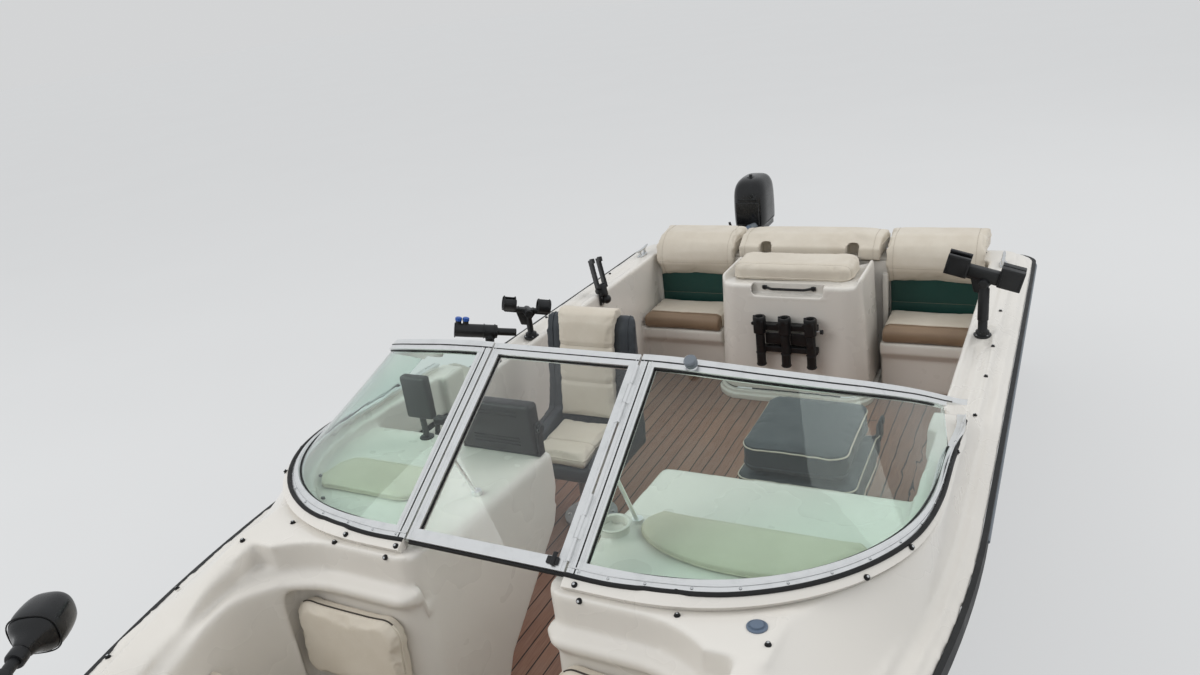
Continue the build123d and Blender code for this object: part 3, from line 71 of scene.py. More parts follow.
# Camera, at the place that the photograph was taken from
CAMERA_PLACE = Vector((1.2923, -2.3007, 2.2738))
CAMERA_YAW = -0.512317
CAMERA_PITCH = 0.381424
CAMERA_ROLL = -0.132907
CAMERA_LENS = 27.11


def make_camera():
    data = bpy.data.cameras.new("camera")
    data.lens = CAMERA_LENS
    data.sensor_width = 36
    data.clip_end = 200
    camera = bpy.data.objects.new("camera", data)
    forward = Vector((math.sin(CAMERA_YAW) * math.cos(CAMERA_PITCH),
                      math.cos(CAMERA_YAW) * math.cos(CAMERA_PITCH), -math.sin(CAMERA_PITCH)))
    level = Vector((math.cos(CAMERA_YAW), -math.sin(CAMERA_YAW), 0))
    rise = level.cross(forward)
    right = math.cos(CAMERA_ROLL) * level + math.sin(CAMERA_ROLL) * rise
    up = -math.sin(CAMERA_ROLL) * level + math.cos(CAMERA_ROLL) * rise
    turn = Matrix((right, up, -forward)).transposed().to_4x4()
    camera.matrix_world = Matrix.Translation(CAMERA_PLACE) @ turn
    SCENE.collection.objects.link(camera)
    SCENE.camera = camera


# Materials
def linear(hex_colour):
    """Linear colour from an sRGB hex value."""
    channels = [int(hex_colour[i:i + 2], 16) / 255 for i in (1, 3, 5)]
    return [c / 12.92 if c <= 0.04045 else ((c + 0.055) / 1.055) ** 2.4 for c in channels] + [1]


def add(tree, kind, settings=None, links=None):
    """Node of a kind, with its settings by attribute or socket, and its links by input socket, where a node
    stands for its first output."""
    made = tree.nodes.new(kind)
    for name, value in (settings or {}).items():
        if isinstance(name, str) and hasattr(made, name):
            setattr(made, name, value)
        else:
            made.inputs[name].default_value = value
    for name, source in (links or {}).items():
        tree.links.new(source.outputs[0] if isinstance(source, bpy.types.Node) else source, made.inputs[name])
    return made


class Finish:
    """A material under way: its shader and the layers of stain, dullness and relief laid on it."""

    def __init__(self, name, rough, metal=0.0, **shader):
        self.material = bpy.data.materials.new(name)
        self.material.use_nodes = True
        self.tree = self.material.node_tree
        self.tree.nodes.clear()
        plain = {key.replace("_", " "): value for key, value in shader.items()}
        self.shader = add(self.tree, "ShaderNodeBsdfPrincipled", {"Roughness": rough, "Metallic": metal, **plain})
        self.out = add(self.tree, "ShaderNodeOutputMaterial", links={"Surface": self.shader})
        self.place = add(self.tree, "ShaderNodeTexCoord").outputs["Object"]
        self.tint = None
        self.normal = None

    def stained(self, first, second, size, low, high, most, detail=4):
        """Second colour over the first, or over the layers so far, in patches about size metres across."""
        patches = add(self.tree, "ShaderNodeTexNoise", {"Scale": 0.5 / size, "Detail": detail, "Roughness": 0.6},
                      {"Vector": self.place})
        share = add(self.tree, "ShaderNodeMapRange", {"From Min": low, "From Max": high, "To Max": most},
                    {"Value": patches})
        return self.tinted(share, first, second)

    def tinted(self, share, first, second):
        """Second colour over the first, or over the layers so far, by a share from a node."""
        mix = add(self.tree, "ShaderNodeMix", {"data_type": "RGBA", 7: linear(second)}, {"Factor": share})
        if first:
            mix.inputs[6].default_value = linear(first)
        else:
            self.tree.links.new(self.tint, mix.inputs[6])
        self.tint = mix.outputs[2]
        self.tree.links.new(self.tint, self.shader.inputs["Base Color"])
        return self

    def dulled(self, size, low, high, detail=4):
        """Roughness from low to high in patches about size metres across."""
        patches = add(self.tree, "ShaderNodeTexNoise", {"Scale": 0.5 / size, "Detail": detail}, {"Vector": self.place})
        rough = add(self.tree, "ShaderNodeMapRange", {"From Min": 0.3, "From Max": 0.7, "To Min": low, "To Max": high},
                    {"Value": patches})
        self.tree.links.new(rough.outputs[0], self.shader.inputs["Roughness"])
        return self

    def dimpled(self, size, depth, detail=2, place=None):
        """Relief of a depth in metres, from noise about size metres across."""
        bumps = add(self.tree, "ShaderNodeTexNoise", {"Scale": 0.5 / size, "Detail": detail},
                    {"Vector": place or self.place})
        return self.raised(bumps, depth)

    def raised(self, height, depth):
        """Relief from a node's height, on top of the relief so far."""
        bump = add(self.tree, "ShaderNodeBump", {"Distance": depth}, {"Height": height})
        if self.normal:
            self.tree.links.new(self.normal, bump.inputs["Normal"])
        self.normal = bump.outputs[0]
        self.tree.links.new(self.normal, self.shader.inputs["Normal"])
        return self


def sprayed_gelcoat(name, colour, stain, rough, coat):
    """Polyester gelcoat out of a polished mould: a deep gloss over a faint waviness, and a thin haze of
    water marks that dulls it in broad patches."""
    look = Finish(name, rough, Coat_Weight=coat, Coat_Roughness=0.12, IOR=1.5)
    return look.stained(colour, stain, 0.3, 0.3, 0.8, 0.4, 2).dulled(0.09, rough, rough + 0.1, 2).dimpled(
        0.14, 0.2 * MM, 1).material


def marine_vinyl(name, colour, worn, grain=3.2 * MM, rough=0.44):
    """Coated upholstery vinyl: a soft sheen over a pressed leather grain, whose real 1.2 mm cells are
    drawn at about 3 mm so that they show, with dirt in broad soft patches."""
    look = Finish(name, rough, Sheen_Weight=0.08, Sheen_Roughness=0.4, IOR=1.48)
    look.stained(colour, worn, 0.09, 0.38, 0.74, 0.6)
    cells = add(look.tree, "ShaderNodeTexVoronoi", {"feature": "DISTANCE_TO_EDGE", "Scale": 1 / grain},
                {"Vector": look.place})
    furrow = add(look.tree, "ShaderNodeMapRange", {"From Max": 0.12, "To Min": 0.3, "To Max": 0.0}, {"Value": cells})
    crown = add(look.tree, "ShaderNodeMapRange", {"From Max": 0.3}, {"Value": cells})
    look.tinted(furrow, None, worn).dulled(0.03, rough - 0.05, rough + 0.12)
    return look.raised(crown, 0.07 * MM).dimpled(0.035, 0.5 * MM).material


def moulded_plastic(name, colour, worn, rough, grit=1.6 * MM, depth=0.025):
    """Injection-moulded nylon or ABS: even colour, a fine spark-eroded grit and scuffs on the high spots."""
    look = Finish(name, rough, IOR=1.5)
    return look.stained(colour, worn, 0.022, 0.52, 0.75, 0.5, 5).dulled(0.022, rough - 0.05, rough + 0.14).dimpled(
        grit, depth * MM).material


def soft_rubber(name, colour, worn):
    """Extruded rubber: matt, with a chalky bloom and a faintly uneven skin."""
    look = Finish(name, 0.62, IOR=1.5)
    return look.stained(colour, worn, 0.03, 0.45, 0.75, 0.7).dulled(0.03, 0.5, 0.72).dimpled(
        2.5 * MM, 0.05 * MM).material


def anodised_extrusion(name, colour, stain):
    """Bright-dipped anodised aluminium: a satin grain drawn along the extrusion, with water spots."""
    look = Finish(name, 0.3, 1.0)
    drawn = add(look.tree, "ShaderNodeMapping", {"Scale": (1, 1, 0.12)}, {"Vector": look.place})
    return look.stained(colour, stain, 0.018, 0.5, 0.78, 0.5, 5).dulled(0.02, 0.28, 0.42).dimpled(
        2.2 * MM, 0.02 * MM, 3, drawn.outputs[0]).material


def polished_steel(name, colour, rough):
    """Polished stainless steel: near mirror, with faint wipe marks and tea stains."""
    look = Finish(name, rough, 1.0)
    return look.stained(colour, "#8F867A", 0.02, 0.58, 0.82, 0.45).dulled(4 * MM, rough, rough + 0.14).dimpled(
        4 * MM, 0.01 * MM, 3).material


def cast_metal(name, colour, stain, metal, rough):
    """Die-cast aluminium under paint or bare: a fine pebbled skin with grime in the hollows."""
    look = Finish(name, rough, metal)
    return look.stained(colour, stain, 0.04, 0.45, 0.75, 0.6, 5).dulled(0.04, rough - 0.04, rough + 0.16).dimpled(
        3 * MM, 0.05 * MM, 3).material


def tempered_glass(name, colour):
    """Float glass, tempered and bent: clear with a cast of colour, and dried spots that dull it here and
    there. Light from the lamps goes straight through it."""
    look = Finish(name, 0.01, IOR=1.45, Transmission_Weight=1.0)
    look.shader.inputs["Base Color"].default_value = linear(colour)
    spots = add(look.tree, "ShaderNodeTexNoise", {"Scale": 60, "Detail": 3}, {"Vector": look.place})
    haze = add(look.tree, "ShaderNodeMapRange", {"From Min": 0.66, "From Max": 0.8, "To Min": 0.005, "To Max": 0.1},
               {"Value": spots})
    look.tree.links.new(haze.outputs[0], look.shader.inputs["Roughness"])
    rays = add(look.tree, "ShaderNodeLightPath")
    clear = add(look.tree, "ShaderNodeBsdfTransparent", {"Color": linear(colour)})
    pane = add(look.tree, "ShaderNodeMixShader", links={0: rays.outputs["Is Shadow Ray"], 1: look.shader, 2: clear})
    look.tree.links.new(pane.outputs[0], look.out.inputs["Surface"])
    return look.material


PLANK = 60 * MM
SEAM = 5 * MM


def laid_teak():
    """Synthetic teak decking: planks 60 mm wide along the boat with 5 mm black caulking, each plank a little
    different, and a grain of fine drawn lines."""
    look = Finish("faux_teak", 0.5, IOR=1.5)
    tree = look.tree
    split = add(tree, "ShaderNodeSeparateXYZ", links={0: look.place})
    across = add(tree, "ShaderNodeMath", {"operation": "MULTIPLY_ADD", 1: 1 / PLANK, 2: 30.5}, {0: split})
    number = add(tree, "ShaderNodeMath", {"operation": "FLOOR"}, {0: across})
    within = add(tree, "ShaderNodeMath", {"operation": "FRACT"}, {0: across})
    offset = add(tree, "ShaderNodeMath", {"operation": "SUBTRACT", 1: 0.5}, {0: within})
    side = add(tree, "ShaderNodeMath", {"operation": "ABSOLUTE"}, {0: offset})
    edge = 0.5 - SEAM / PLANK / 2
    seam = add(tree, "ShaderNodeMapRange", {"From Min": edge - 0.012, "From Max": edge + 0.006}, {"Value": side})
    crown = add(tree, "ShaderNodeMapRange", {"From Min": edge - 0.03, "From Max": edge + 0.01, "To Min": 1.0,
                                             "To Max": 0.0}, {"Value": side})
    tone = add(tree, "ShaderNodeTexWhiteNoise", {"noise_dimensions": "1D"}, {"W": number})
    shade = add(tree, "ShaderNodeMapRange", {"To Max": 0.4}, {"Value": tone.outputs["Value"]})
    drawn = add(tree, "ShaderNodeMapping", {"Scale": (1, 0.035, 1)}, {"Vector": look.place})
    grain = add(tree, "ShaderNodeTexNoise", {"Scale": 0.5 / (3 * MM), "Detail": 5, "Roughness": 0.7},
                {"Vector": drawn})
    lines = add(tree, "ShaderNodeMapRange", {"From Min": 0.3, "From Max": 0.72}, {"Value": grain})
    look.tinted(lines, "#70493A", "#A07A66").tinted(shade, None, "#B18D78")
    look.stained(None, "#94827A", 0.25, 0.42, 0.68, 0.35).tinted(seam, None, "#1E1A19").dulled(0.02, 0.42, 0.62)
    return look.raised(grain, 0.08 * MM).raised(crown, 0.6 * MM).material


def screen_glass():
    """Unlit display behind glass: near black with a blue cast and a high gloss."""
    look = Finish("screen_glass", 0.08, IOR=1.5, Coat_Weight=0.5)
    return look.stained("#0B0E12", "#10151B", 0.05, 0.3, 0.7, 1.0).dulled(0.02, 0.06, 0.14).material


LOOKS = {
    "gelcoat_white": sprayed_gelcoat("gelcoat_white", "#DEDAD3", "#CFC9BF", 0.24, 0.25),
    "gelcoat_black": sprayed_gelcoat("gelcoat_black", "#121315", "#1E2023", 0.14, 0.5),
    "rail_vinyl": soft_rubber("rail_vinyl", "#1A1B1C", "#303132"),
    "faux_teak": laid_teak(),
    "cast_iron_engine": cast_metal("cast_iron_engine", "#34363A", "#1F1D1B", 0.3, 0.55),
    "vinyl_cream": marine_vinyl("vinyl_cream", "#D3CBBD", "#BFB4A3"),
    "vinyl_tan": marine_vinyl("vinyl_tan", "#8E7862", "#77634F"),
    "vinyl_green": marine_vinyl("vinyl_green", "#12403A", "#0E332F", 5 * MM),
    "vinyl_charcoal": marine_vinyl("vinyl_charcoal", "#34383D", "#44494E"),
    "dash_vinyl": marine_vinyl("dash_vinyl", "#CDC6B4", "#BCB4A1"),
    "window_frame_metal": anodised_extrusion("window_frame_metal", "#F3F4F4", "#D6D8D8"),
    "tinted_glass": tempered_glass("tinted_glass", "#E2F0EA"),
    "clear_glass": tempered_glass("clear_glass", "#F4F7F6"),
    "gasket_rubber": soft_rubber("gasket_rubber", "#0B0B0C", "#1C1C1D"),
    "pedestal_metal": anodised_extrusion("pedestal_metal", "#A8ABAE", "#8B8D8F"),
    "black_plastic": moulded_plastic("black_plastic", "#131416", "#25272A", 0.38),
    "rack_plastic": moulded_plastic("rack_plastic", "#121315", "#26282B", 0.42),
    "grey_plastic": moulded_plastic("grey_plastic", "#6E757C", "#868C92", 0.45),
    "stainless": polished_steel("stainless", "#D8DADB", 0.14),
    "drive_paint": cast_metal("drive_paint", "#1D1F22", "#33363A", 0.0, 0.32),
    "bracket_metal": cast_metal("bracket_metal", "#8F9294", "#6F7072", 0.9, 0.42),
    "motor_paint": moulded_plastic("motor_paint", "#101113", "#1F2123", 0.22, 6 * MM),
    "cowl_plastic": moulded_plastic("cowl_plastic", "#0E0F11", "#1D1F22", 0.18, 6 * MM),
    "propeller_metal": cast_metal("propeller_metal", "#2A2C2F", "#55585B", 0.6, 0.35),
    "screen_glass": screen_glass(),
    "stitch_thread": moulded_plastic("stitch_thread", "#9C907E", "#7F7465", 0.6),
    "dark_piping": marine_vinyl("dark_piping", "#3B342E", "#2C2723"),
    "red_lens": moulded_plastic("red_lens", "#8E1414", "#A02020", 0.15),
    "green_lens": moulded_plastic("green_lens", "#0F6A3A", "#1A7A48", 0.15),
    "blue_plastic": moulded_plastic("blue_plastic", "#1F4E9E", "#3462AE", 0.35),
    "cap_plastic": moulded_plastic("cap_plastic", "#5E6C7E", "#75828F", 0.4),
}


# Meshes
def take_mesh(name, bm):
    mesh = bpy.data.meshes.new(name)
    bm.to_mesh(mesh)
    bm.free()
    return mesh


def shown(name, mesh, body, finish, replaces=()):
    """Piece of the scene: a mesh in place, with its finish, riding on a body."""
    if isinstance(mesh, bmesh.types.BMesh):
        mesh = take_mesh(name, mesh)
    if finish:
        mesh.materials.clear()
        for look in (finish if isinstance(finish, tuple) else (finish,)):
            mesh.materials.append(LOOKS[look])
    for face in mesh.polygons:
        face.use_smooth = True
    piece = bpy.data.objects.new(name, mesh)
    SCENE.collection.objects.link(piece)
    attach(piece, body)
    if replaces:
        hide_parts(*replaces)
    return piece


def creased(mesh, degrees=35):
    """Shades a mesh smooth but for its corners."""
    if isinstance(mesh, bmesh.types.BMesh):
        mesh = take_mesh("creased", mesh)
    for face in mesh.polygons:
        face.use_smooth = True
    mesh.set_sharp_from_angle(angle=math.radians(degrees))
    return mesh


def baked(bm, *steps):
    """Plain mesh of a bmesh or mesh after modifiers, each given as its kind and settings."""
    mesh = take_mesh("step", bm) if isinstance(bm, bmesh.types.BMesh) else bm
    carrier = bpy.data.objects.new("step", mesh)
    SCENE.collection.objects.link(carrier)
    for kind, settings in steps:
        modifier = carrier.modifiers.new(kind.lower(), kind)
        for key, value in settings.items():
            setattr(modifier, key, value)
    result = bpy.data.meshes.new_from_object(carrier.evaluated_get(bpy.context.evaluated_depsgraph_get()))
    bpy.data.objects.remove(carrier)
    return result


def cad_copy(*names):
    """Merged copy of CAD nodes in one bmesh."""
    bm = bmesh.new()
    for name in names:
        bm.from_mesh(NODES[name].data)
    bmesh.ops.remove_doubles(bm, verts=bm.verts, dist=0.01 * MM)
    return bm


def solids_of(name):
    """The separate solids of a CAD node, each as a bmesh, from port to starboard."""
    whole = cad_copy(name)
    left = set(whole.verts)
    groups = []
    while left:
        stack = [left.pop()]
        group = []
        while stack:
            vertex = stack.pop()
            group.append(vertex)
            for edge in vertex.link_edges:
                other = edge.other_vert(vertex)
                if other in left:
                    left.discard(other)
                    stack.append(other)
        groups.append(group)
    pieces = []
    for group in groups:
        inside = set(group)
        part = bmesh.new()
        made = {v: part.verts.new(v.co) for v in group}
        for face in {f for v in inside for f in v.link_faces}:
            part.faces.new([made[v] for v in face.verts])
        pieces.append(part)
    whole.free()
    return sorted(pieces, key=lambda b: -middle_of(b).x)


def middle_of(bm):
    low = Vector(min(v.co[i] for v in bm.verts) for i in range(3))
    high = Vector(max(v.co[i] for v in bm.verts) for i in range(3))
    return (low + high) / 2


def joined(*parts):
    """One bmesh of several."""
    whole = bmesh.new()
    for part in parts:
        mesh = take_mesh("part", part) if isinstance(part, bmesh.types.BMesh) else part
        whole.from_mesh(mesh)
    return whole


def moved(bm, *steps):
    """A bmesh after matrices, the first of which acts last."""
    matrix = Matrix.Identity(4)
    for step in steps:
        matrix = matrix @ (Matrix.Translation(step) if not isinstance(step, Matrix) else step)
    bmesh.ops.transform(bm, matrix=matrix, verts=bm.verts)
    if matrix.determinant() < 0:
        bmesh.ops.reverse_faces(bm, faces=bm.faces)
    return bm


def turned(degrees, axis):
    return Matrix.Rotation(math.radians(degrees), 4, axis)


def mirrored(bm):
    copy = bm.copy()
    bmesh.ops.transform(copy, matrix=Matrix.Scale(-1, 4, (1, 0, 0)), verts=copy.verts)
    bmesh.ops.reverse_faces(copy, faces=copy.faces)
    return copy


def both(bm):
    """A shape and its mirror image."""
    return joined(bm, mirrored(bm))


def softened(bm, width, segments=3, angle=30):
    """A bmesh whose sharp edges are rounded."""
    edges = [e for e in bm.edges if len(e.link_faces) == 2 and e.calc_face_angle(0) > math.radians(angle)]
    bmesh.ops.bevel(bm, geom=edges, offset=width, segments=segments, profile=0.5, affect="EDGES", clamp_overlap=True)
    return bm


def slab(size, edge=2, segments=3):
    """Box of a size in millimetres, with rounded edges, centred on the origin."""
    bm = bmesh.new()
    bmesh.ops.create_cube(bm, size=1)
    bmesh.ops.scale(bm, vec=[side * MM for side in size], verts=bm.verts)
    return softened(bm, edge * MM, segments)


def plate(points, thickness, edge=1 * MM):
    """Plate in the XY plane from its corners, rising from z = 0."""
    bm = bmesh.new()
    low = [bm.verts.new((x, y, 0)) for x, y in points]
    face = bm.faces.new(low)
    made = bmesh.ops.extrude_face_region(bm, geom=[face])
    bmesh.ops.translate(bm, vec=(0, 0, thickness), verts=[v for v in made["geom"] if isinstance(v, bmesh.types.BMVert)])
    bmesh.ops.recalc_face_normals(bm, faces=bm.faces)
    return softened(bm, edge, 2) if edge else bm


def closed_round(bm, rings):
    """Faces between neighbouring rings of vertices, where a ring of one vertex closes an end."""
    count = max(len(ring) for ring in rings)
    for low, high in zip(rings, rings[1:]):
        for i in range(count):
            j = (i + 1) % count
            corners = (low[i % len(low)], low[j % len(low)], high[j % len(high)], high[i % len(high)])
            face = list(dict.fromkeys(corners))
            if len(face) > 2:
                bm.faces.new(face)
    return bm


def lathe(profile, steps=28):
    """Turned shape round Z from (radius, z) pairs in millimetres, closed where the radius is zero."""
    bm = bmesh.new()
    rings = []
    for radius, z in profile:
        angles = [2 * math.pi * i / steps for i in range(steps)] if radius > 1e-4 else [0]
        rings.append([bm.verts.new((radius * MM * math.cos(a), radius * MM * math.sin(a), z * MM)) for a in angles])
    closed_round(bm, rings)
    bmesh.ops.remove_doubles(bm, verts=bm.verts, dist=1e-6)
    bmesh.ops.recalc_face_normals(bm, faces=bm.faces)
    return bm


def oval(centre, half_x, half_y, power=2.4, steps=28):
    """Rounded section in a level plane, as points."""
    points = []
    for i in range(steps):
        a = 2 * math.pi * i / steps
        c, s = math.cos(a), math.sin(a)
        points.append(Vector(centre) + Vector((half_x * math.copysign(abs(c) ** (2 / power), c),
                                               half_y * math.copysign(abs(s) ** (2 / power), s), 0)))
    return points


def skinned(sections):
    """Surface through sections of equal point counts, with its ends closed."""
    bm = bmesh.new()
    rings = [[bm.verts.new(p) for p in section] for section in sections]
    closed_round(bm, rings)
    bm.faces.new(list(reversed(rings[0])))
    bm.faces.new(rings[-1])
    bmesh.ops.recalc_face_normals(bm, faces=bm.faces)
    return bm


def bar(points, radius, sides=12):
    """Round bar along points, through a curve."""
    curve = bpy.data.curves.new("bar", "CURVE")
    curve.dimensions = "3D"
    curve.bevel_depth = radius
    curve.bevel_resolution = max(sides // 4 - 1, 1)
    curve.use_fill_caps = True
    curve.resolution_u = 6
    spline = curve.splines.new("NURBS")
    spline.points.add(len(points) - 1)
    for target, point in zip(spline.points, points):
        target.co = (*point, 1)
    spline.order_u = 3
    spline.use_endpoint_u = True
    carrier = bpy.data.objects.new("bar", curve)
    SCENE.collection.objects.link(carrier)
    mesh = bpy.data.meshes.new_from_object(carrier.evaluated_get(bpy.context.evaluated_depsgraph_get()))
    bpy.data.objects.remove(carrier)
    bm = bmesh.new()
    bm.from_mesh(mesh)
    bmesh.ops.recalc_face_normals(bm, faces=bm.faces)
    return bm


# Turns a plate drawn as s and z into a fore and aft section, its thickness towards port
SECTION = Matrix(((0, 0, 1), (-1, 0, 0), (0, 1, 0))).to_4x4()


def standing(point, along):
    """Matrix that sets a shape's Z axis along a direction, at a point."""
    return Matrix.Translation(point) @ Vector(along).to_track_quat("Z", "Y").to_matrix().to_4x4()


# Geometry Nodes for what repeats or follows a path
def node_tree(name, sizes):
    """Tree with a geometry input and named sizes."""
    tree = bpy.data.node_groups.new(name, "GeometryNodeTree")
    tree.interface.new_socket("Geometry", in_out="OUTPUT", socket_type="NodeSocketGeometry")
    tree.interface.new_socket("Geometry", in_out="INPUT", socket_type="NodeSocketGeometry")
    for size, value in sizes.items():
        tree.interface.new_socket(size, in_out="INPUT", socket_type="NodeSocketFloat").default_value = value
    return tree, add(tree, "NodeGroupInput"), add(tree, "NodeGroupOutput")


def close_tree(tree, last, look, out):
    """Ends a tree in Realize Instances and Set Material."""
    real = add(tree, "GeometryNodeRealizeInstances", links={0: last})
    painted = add(tree, "GeometryNodeSetMaterial", {"Material": LOOKS[look]}, {0: real})
    tree.links.new(painted.outputs[0], out.inputs[0])


def grown(base, tree, **sizes):
    """Plain mesh of a Geometry Nodes tree on a base mesh, with its named sizes set."""
    carrier = bpy.data.objects.new("grown", base)
    SCENE.collection.objects.link(carrier)
    modifier = carrier.modifiers.new("grown", "NODES")
    modifier.node_group = tree
    for item in tree.interface.items_tree:
        if item.in_out == "INPUT" and item.name in sizes:
            modifier[item.identifier] = sizes[item.name]
    result = bpy.data.meshes.new_from_object(carrier.evaluated_get(bpy.context.evaluated_depsgraph_get()))
    bpy.data.objects.remove(carrier)
    return result


def welt_tree(look):
    """Round cord or bead along the edges of a mesh."""
    tree, inside, out = node_tree("welt_" + look, {"Radius": 3 * MM})
    path = add(tree, "GeometryNodeMeshToCurve", links={0: inside.outputs[0]})
    ring = add(tree, "GeometryNodeCurvePrimitiveCircle", {"Resolution": 8}, {"Radius": inside.outputs["Radius"]})
    tube = add(tree, "GeometryNodeCurveToMesh", {"Fill Caps": True}, {0: path.outputs[0], 1: ring.outputs[0]})
    close_tree(tree, tube.outputs[0], look, out)
    return tree


def stitch_tree(look):
    """Short stitches lying along the edges of a mesh."""
    tree, inside, out = node_tree("stitches_" + look, {"Spacing": 9 * MM, "Length": 5.5 * MM, "Radius": 0.8 * MM})
    path = add(tree, "GeometryNodeMeshToCurve", links={0: inside.outputs[0]})
    points = add(tree, "GeometryNodeResampleCurve", links={0: path.outputs[0]})
    if hasattr(points, "mode"):
        points.mode = "LENGTH"
    tree.links.new(inside.outputs["Spacing"], points.inputs["Length"])
    thread = add(tree, "GeometryNodeMeshCylinder", {"Vertices": 6}, {"Radius": inside.outputs["Radius"],
                                                                      "Depth": inside.outputs["Length"]})
    tangent = add(tree, "GeometryNodeInputTangent")
    turn = add(tree, "FunctionNodeAlignEulerToVector", {"axis": "Z"}, {"Vector": tangent.outputs[0]})
    laid = add(tree, "GeometryNodeInstanceOnPoints", links={"Points": points.outputs[0],
                                                             "Instance": thread.outputs[0],
                                                             "Rotation": turn.outputs[0]})
    close_tree(tree, laid.outputs[0], look, out)
    return tree


def scatter_tree(name, look, shape):
    """A shape standing on every point of a mesh, along the point's normal attribute."""
    tree, inside, out = node_tree(name, {})
    holder = bpy.data.objects.new(name + "_shape", shape)
    SCENE.collection.objects.link(holder)
    source = add(tree, "GeometryNodeObjectInfo", {"Object": holder})
    facing = add(tree, "GeometryNodeInputNamedAttribute", {"data_type": "FLOAT_VECTOR", "Name": "facing"})
    turn = add(tree, "FunctionNodeAlignEulerToVector", {"axis": "Z"}, {"Vector": facing.outputs[0]})
    laid = add(tree, "GeometryNodeInstanceOnPoints", links={"Points": inside.outputs[0],
                                                             "Instance": source.outputs["Geometry"],
                                                             "Rotation": turn.outputs[0]})
    close_tree(tree, laid.outputs[0], look, out)
    return tree, holder


def scattered(name, places, shape, body, look):
    """Like pieces of one shape, one at each (point, direction)."""
    mesh = bpy.data.meshes.new(name)
    mesh.from_pydata([tuple(p) for p, _ in places], [], [])
    facing = mesh.attributes.new("facing", "FLOAT_VECTOR", "POINT")
    facing.data.foreach_set("vector", [c for _, d in places for c in d])
    tree, holder = scatter_tree(name, look, take_mesh(name + "_shape", shape))
    result = grown(mesh, tree)
    bpy.data.objects.remove(holder)
    for attribute in [a for a in result.attributes if a.name == "facing"]:
        result.attributes.remove(attribute)
    return shown(name, creased(result), body, look)


def line_mesh(lines, step=None):
    """Edges-only mesh of polylines, cut to steps."""
    points, edges = [], []
    for line in lines:
        first = len(points)
        for a, b in zip(line, line[1:]):
            cuts = max(1, math.ceil((b - a).length / step)) if step else 1
            points += [a.lerp(b, i / cuts) for i in range(cuts)]
        points.append(line[-1])
        edges += [(i, i + 1) for i in range(first, len(points) - 1)]
    mesh = bpy.data.meshes.new("lines")
    mesh.from_pydata([tuple(p) for p in points], edges, [])
    return mesh


def sharp_edges(bm, test, angle=30):
    """Polylines of a solid's sharp edges for which test(middle, normal, normal) is true."""
    lines = []
    for edge in bm.edges:
        if len(edge.link_faces) != 2 or edge.calc_face_angle(0) < math.radians(angle):
            continue
        a, b = (v.co for v in edge.verts)
        if test((a + b) / 2, *(f.normal for f in edge.link_faces)):
            lines.append([a.copy(), b.copy()])
    return lines


def merged_lines(lines, step):
    """Edges-only mesh of short lines with their ends joined, cut to steps."""
    mesh = line_mesh(lines, step)
    bm = bmesh.new()
    bm.from_mesh(mesh)
    bmesh.ops.remove_doubles(bm, verts=bm.verts, dist=0.2 * MM)
    bm.to_mesh(mesh)
    bm.free()
    return mesh


def tree_of(mesh):
    bm = bmesh.new()
    bm.from_mesh(mesh)
    made = BVHTree.FromBMesh(bm)
    bm.free()
    return made


def coat(node):
    """Gives a CAD node its finish."""
    for holder in NODES[node].material_slots:
        base = holder.material.name.split(".")[0] if holder.material else None
        if base in LOOKS:
            holder.material = LOOKS[base]


STEP_Z = 0.746          # step round the bow well, above the backrests
STEP_RISE = 0.054       # rise of the step and backrests in the well's after corners
CHANNEL_DEPTH = 0.008   # further depth of the channel along the gunwale


def eased(value, low, high):
    """0 at low and below to 1 at high and above, with a soft start and end."""
    u = min(max((value - low) / (high - low), 0), 1)
    return u * u * (3 - 2 * u)


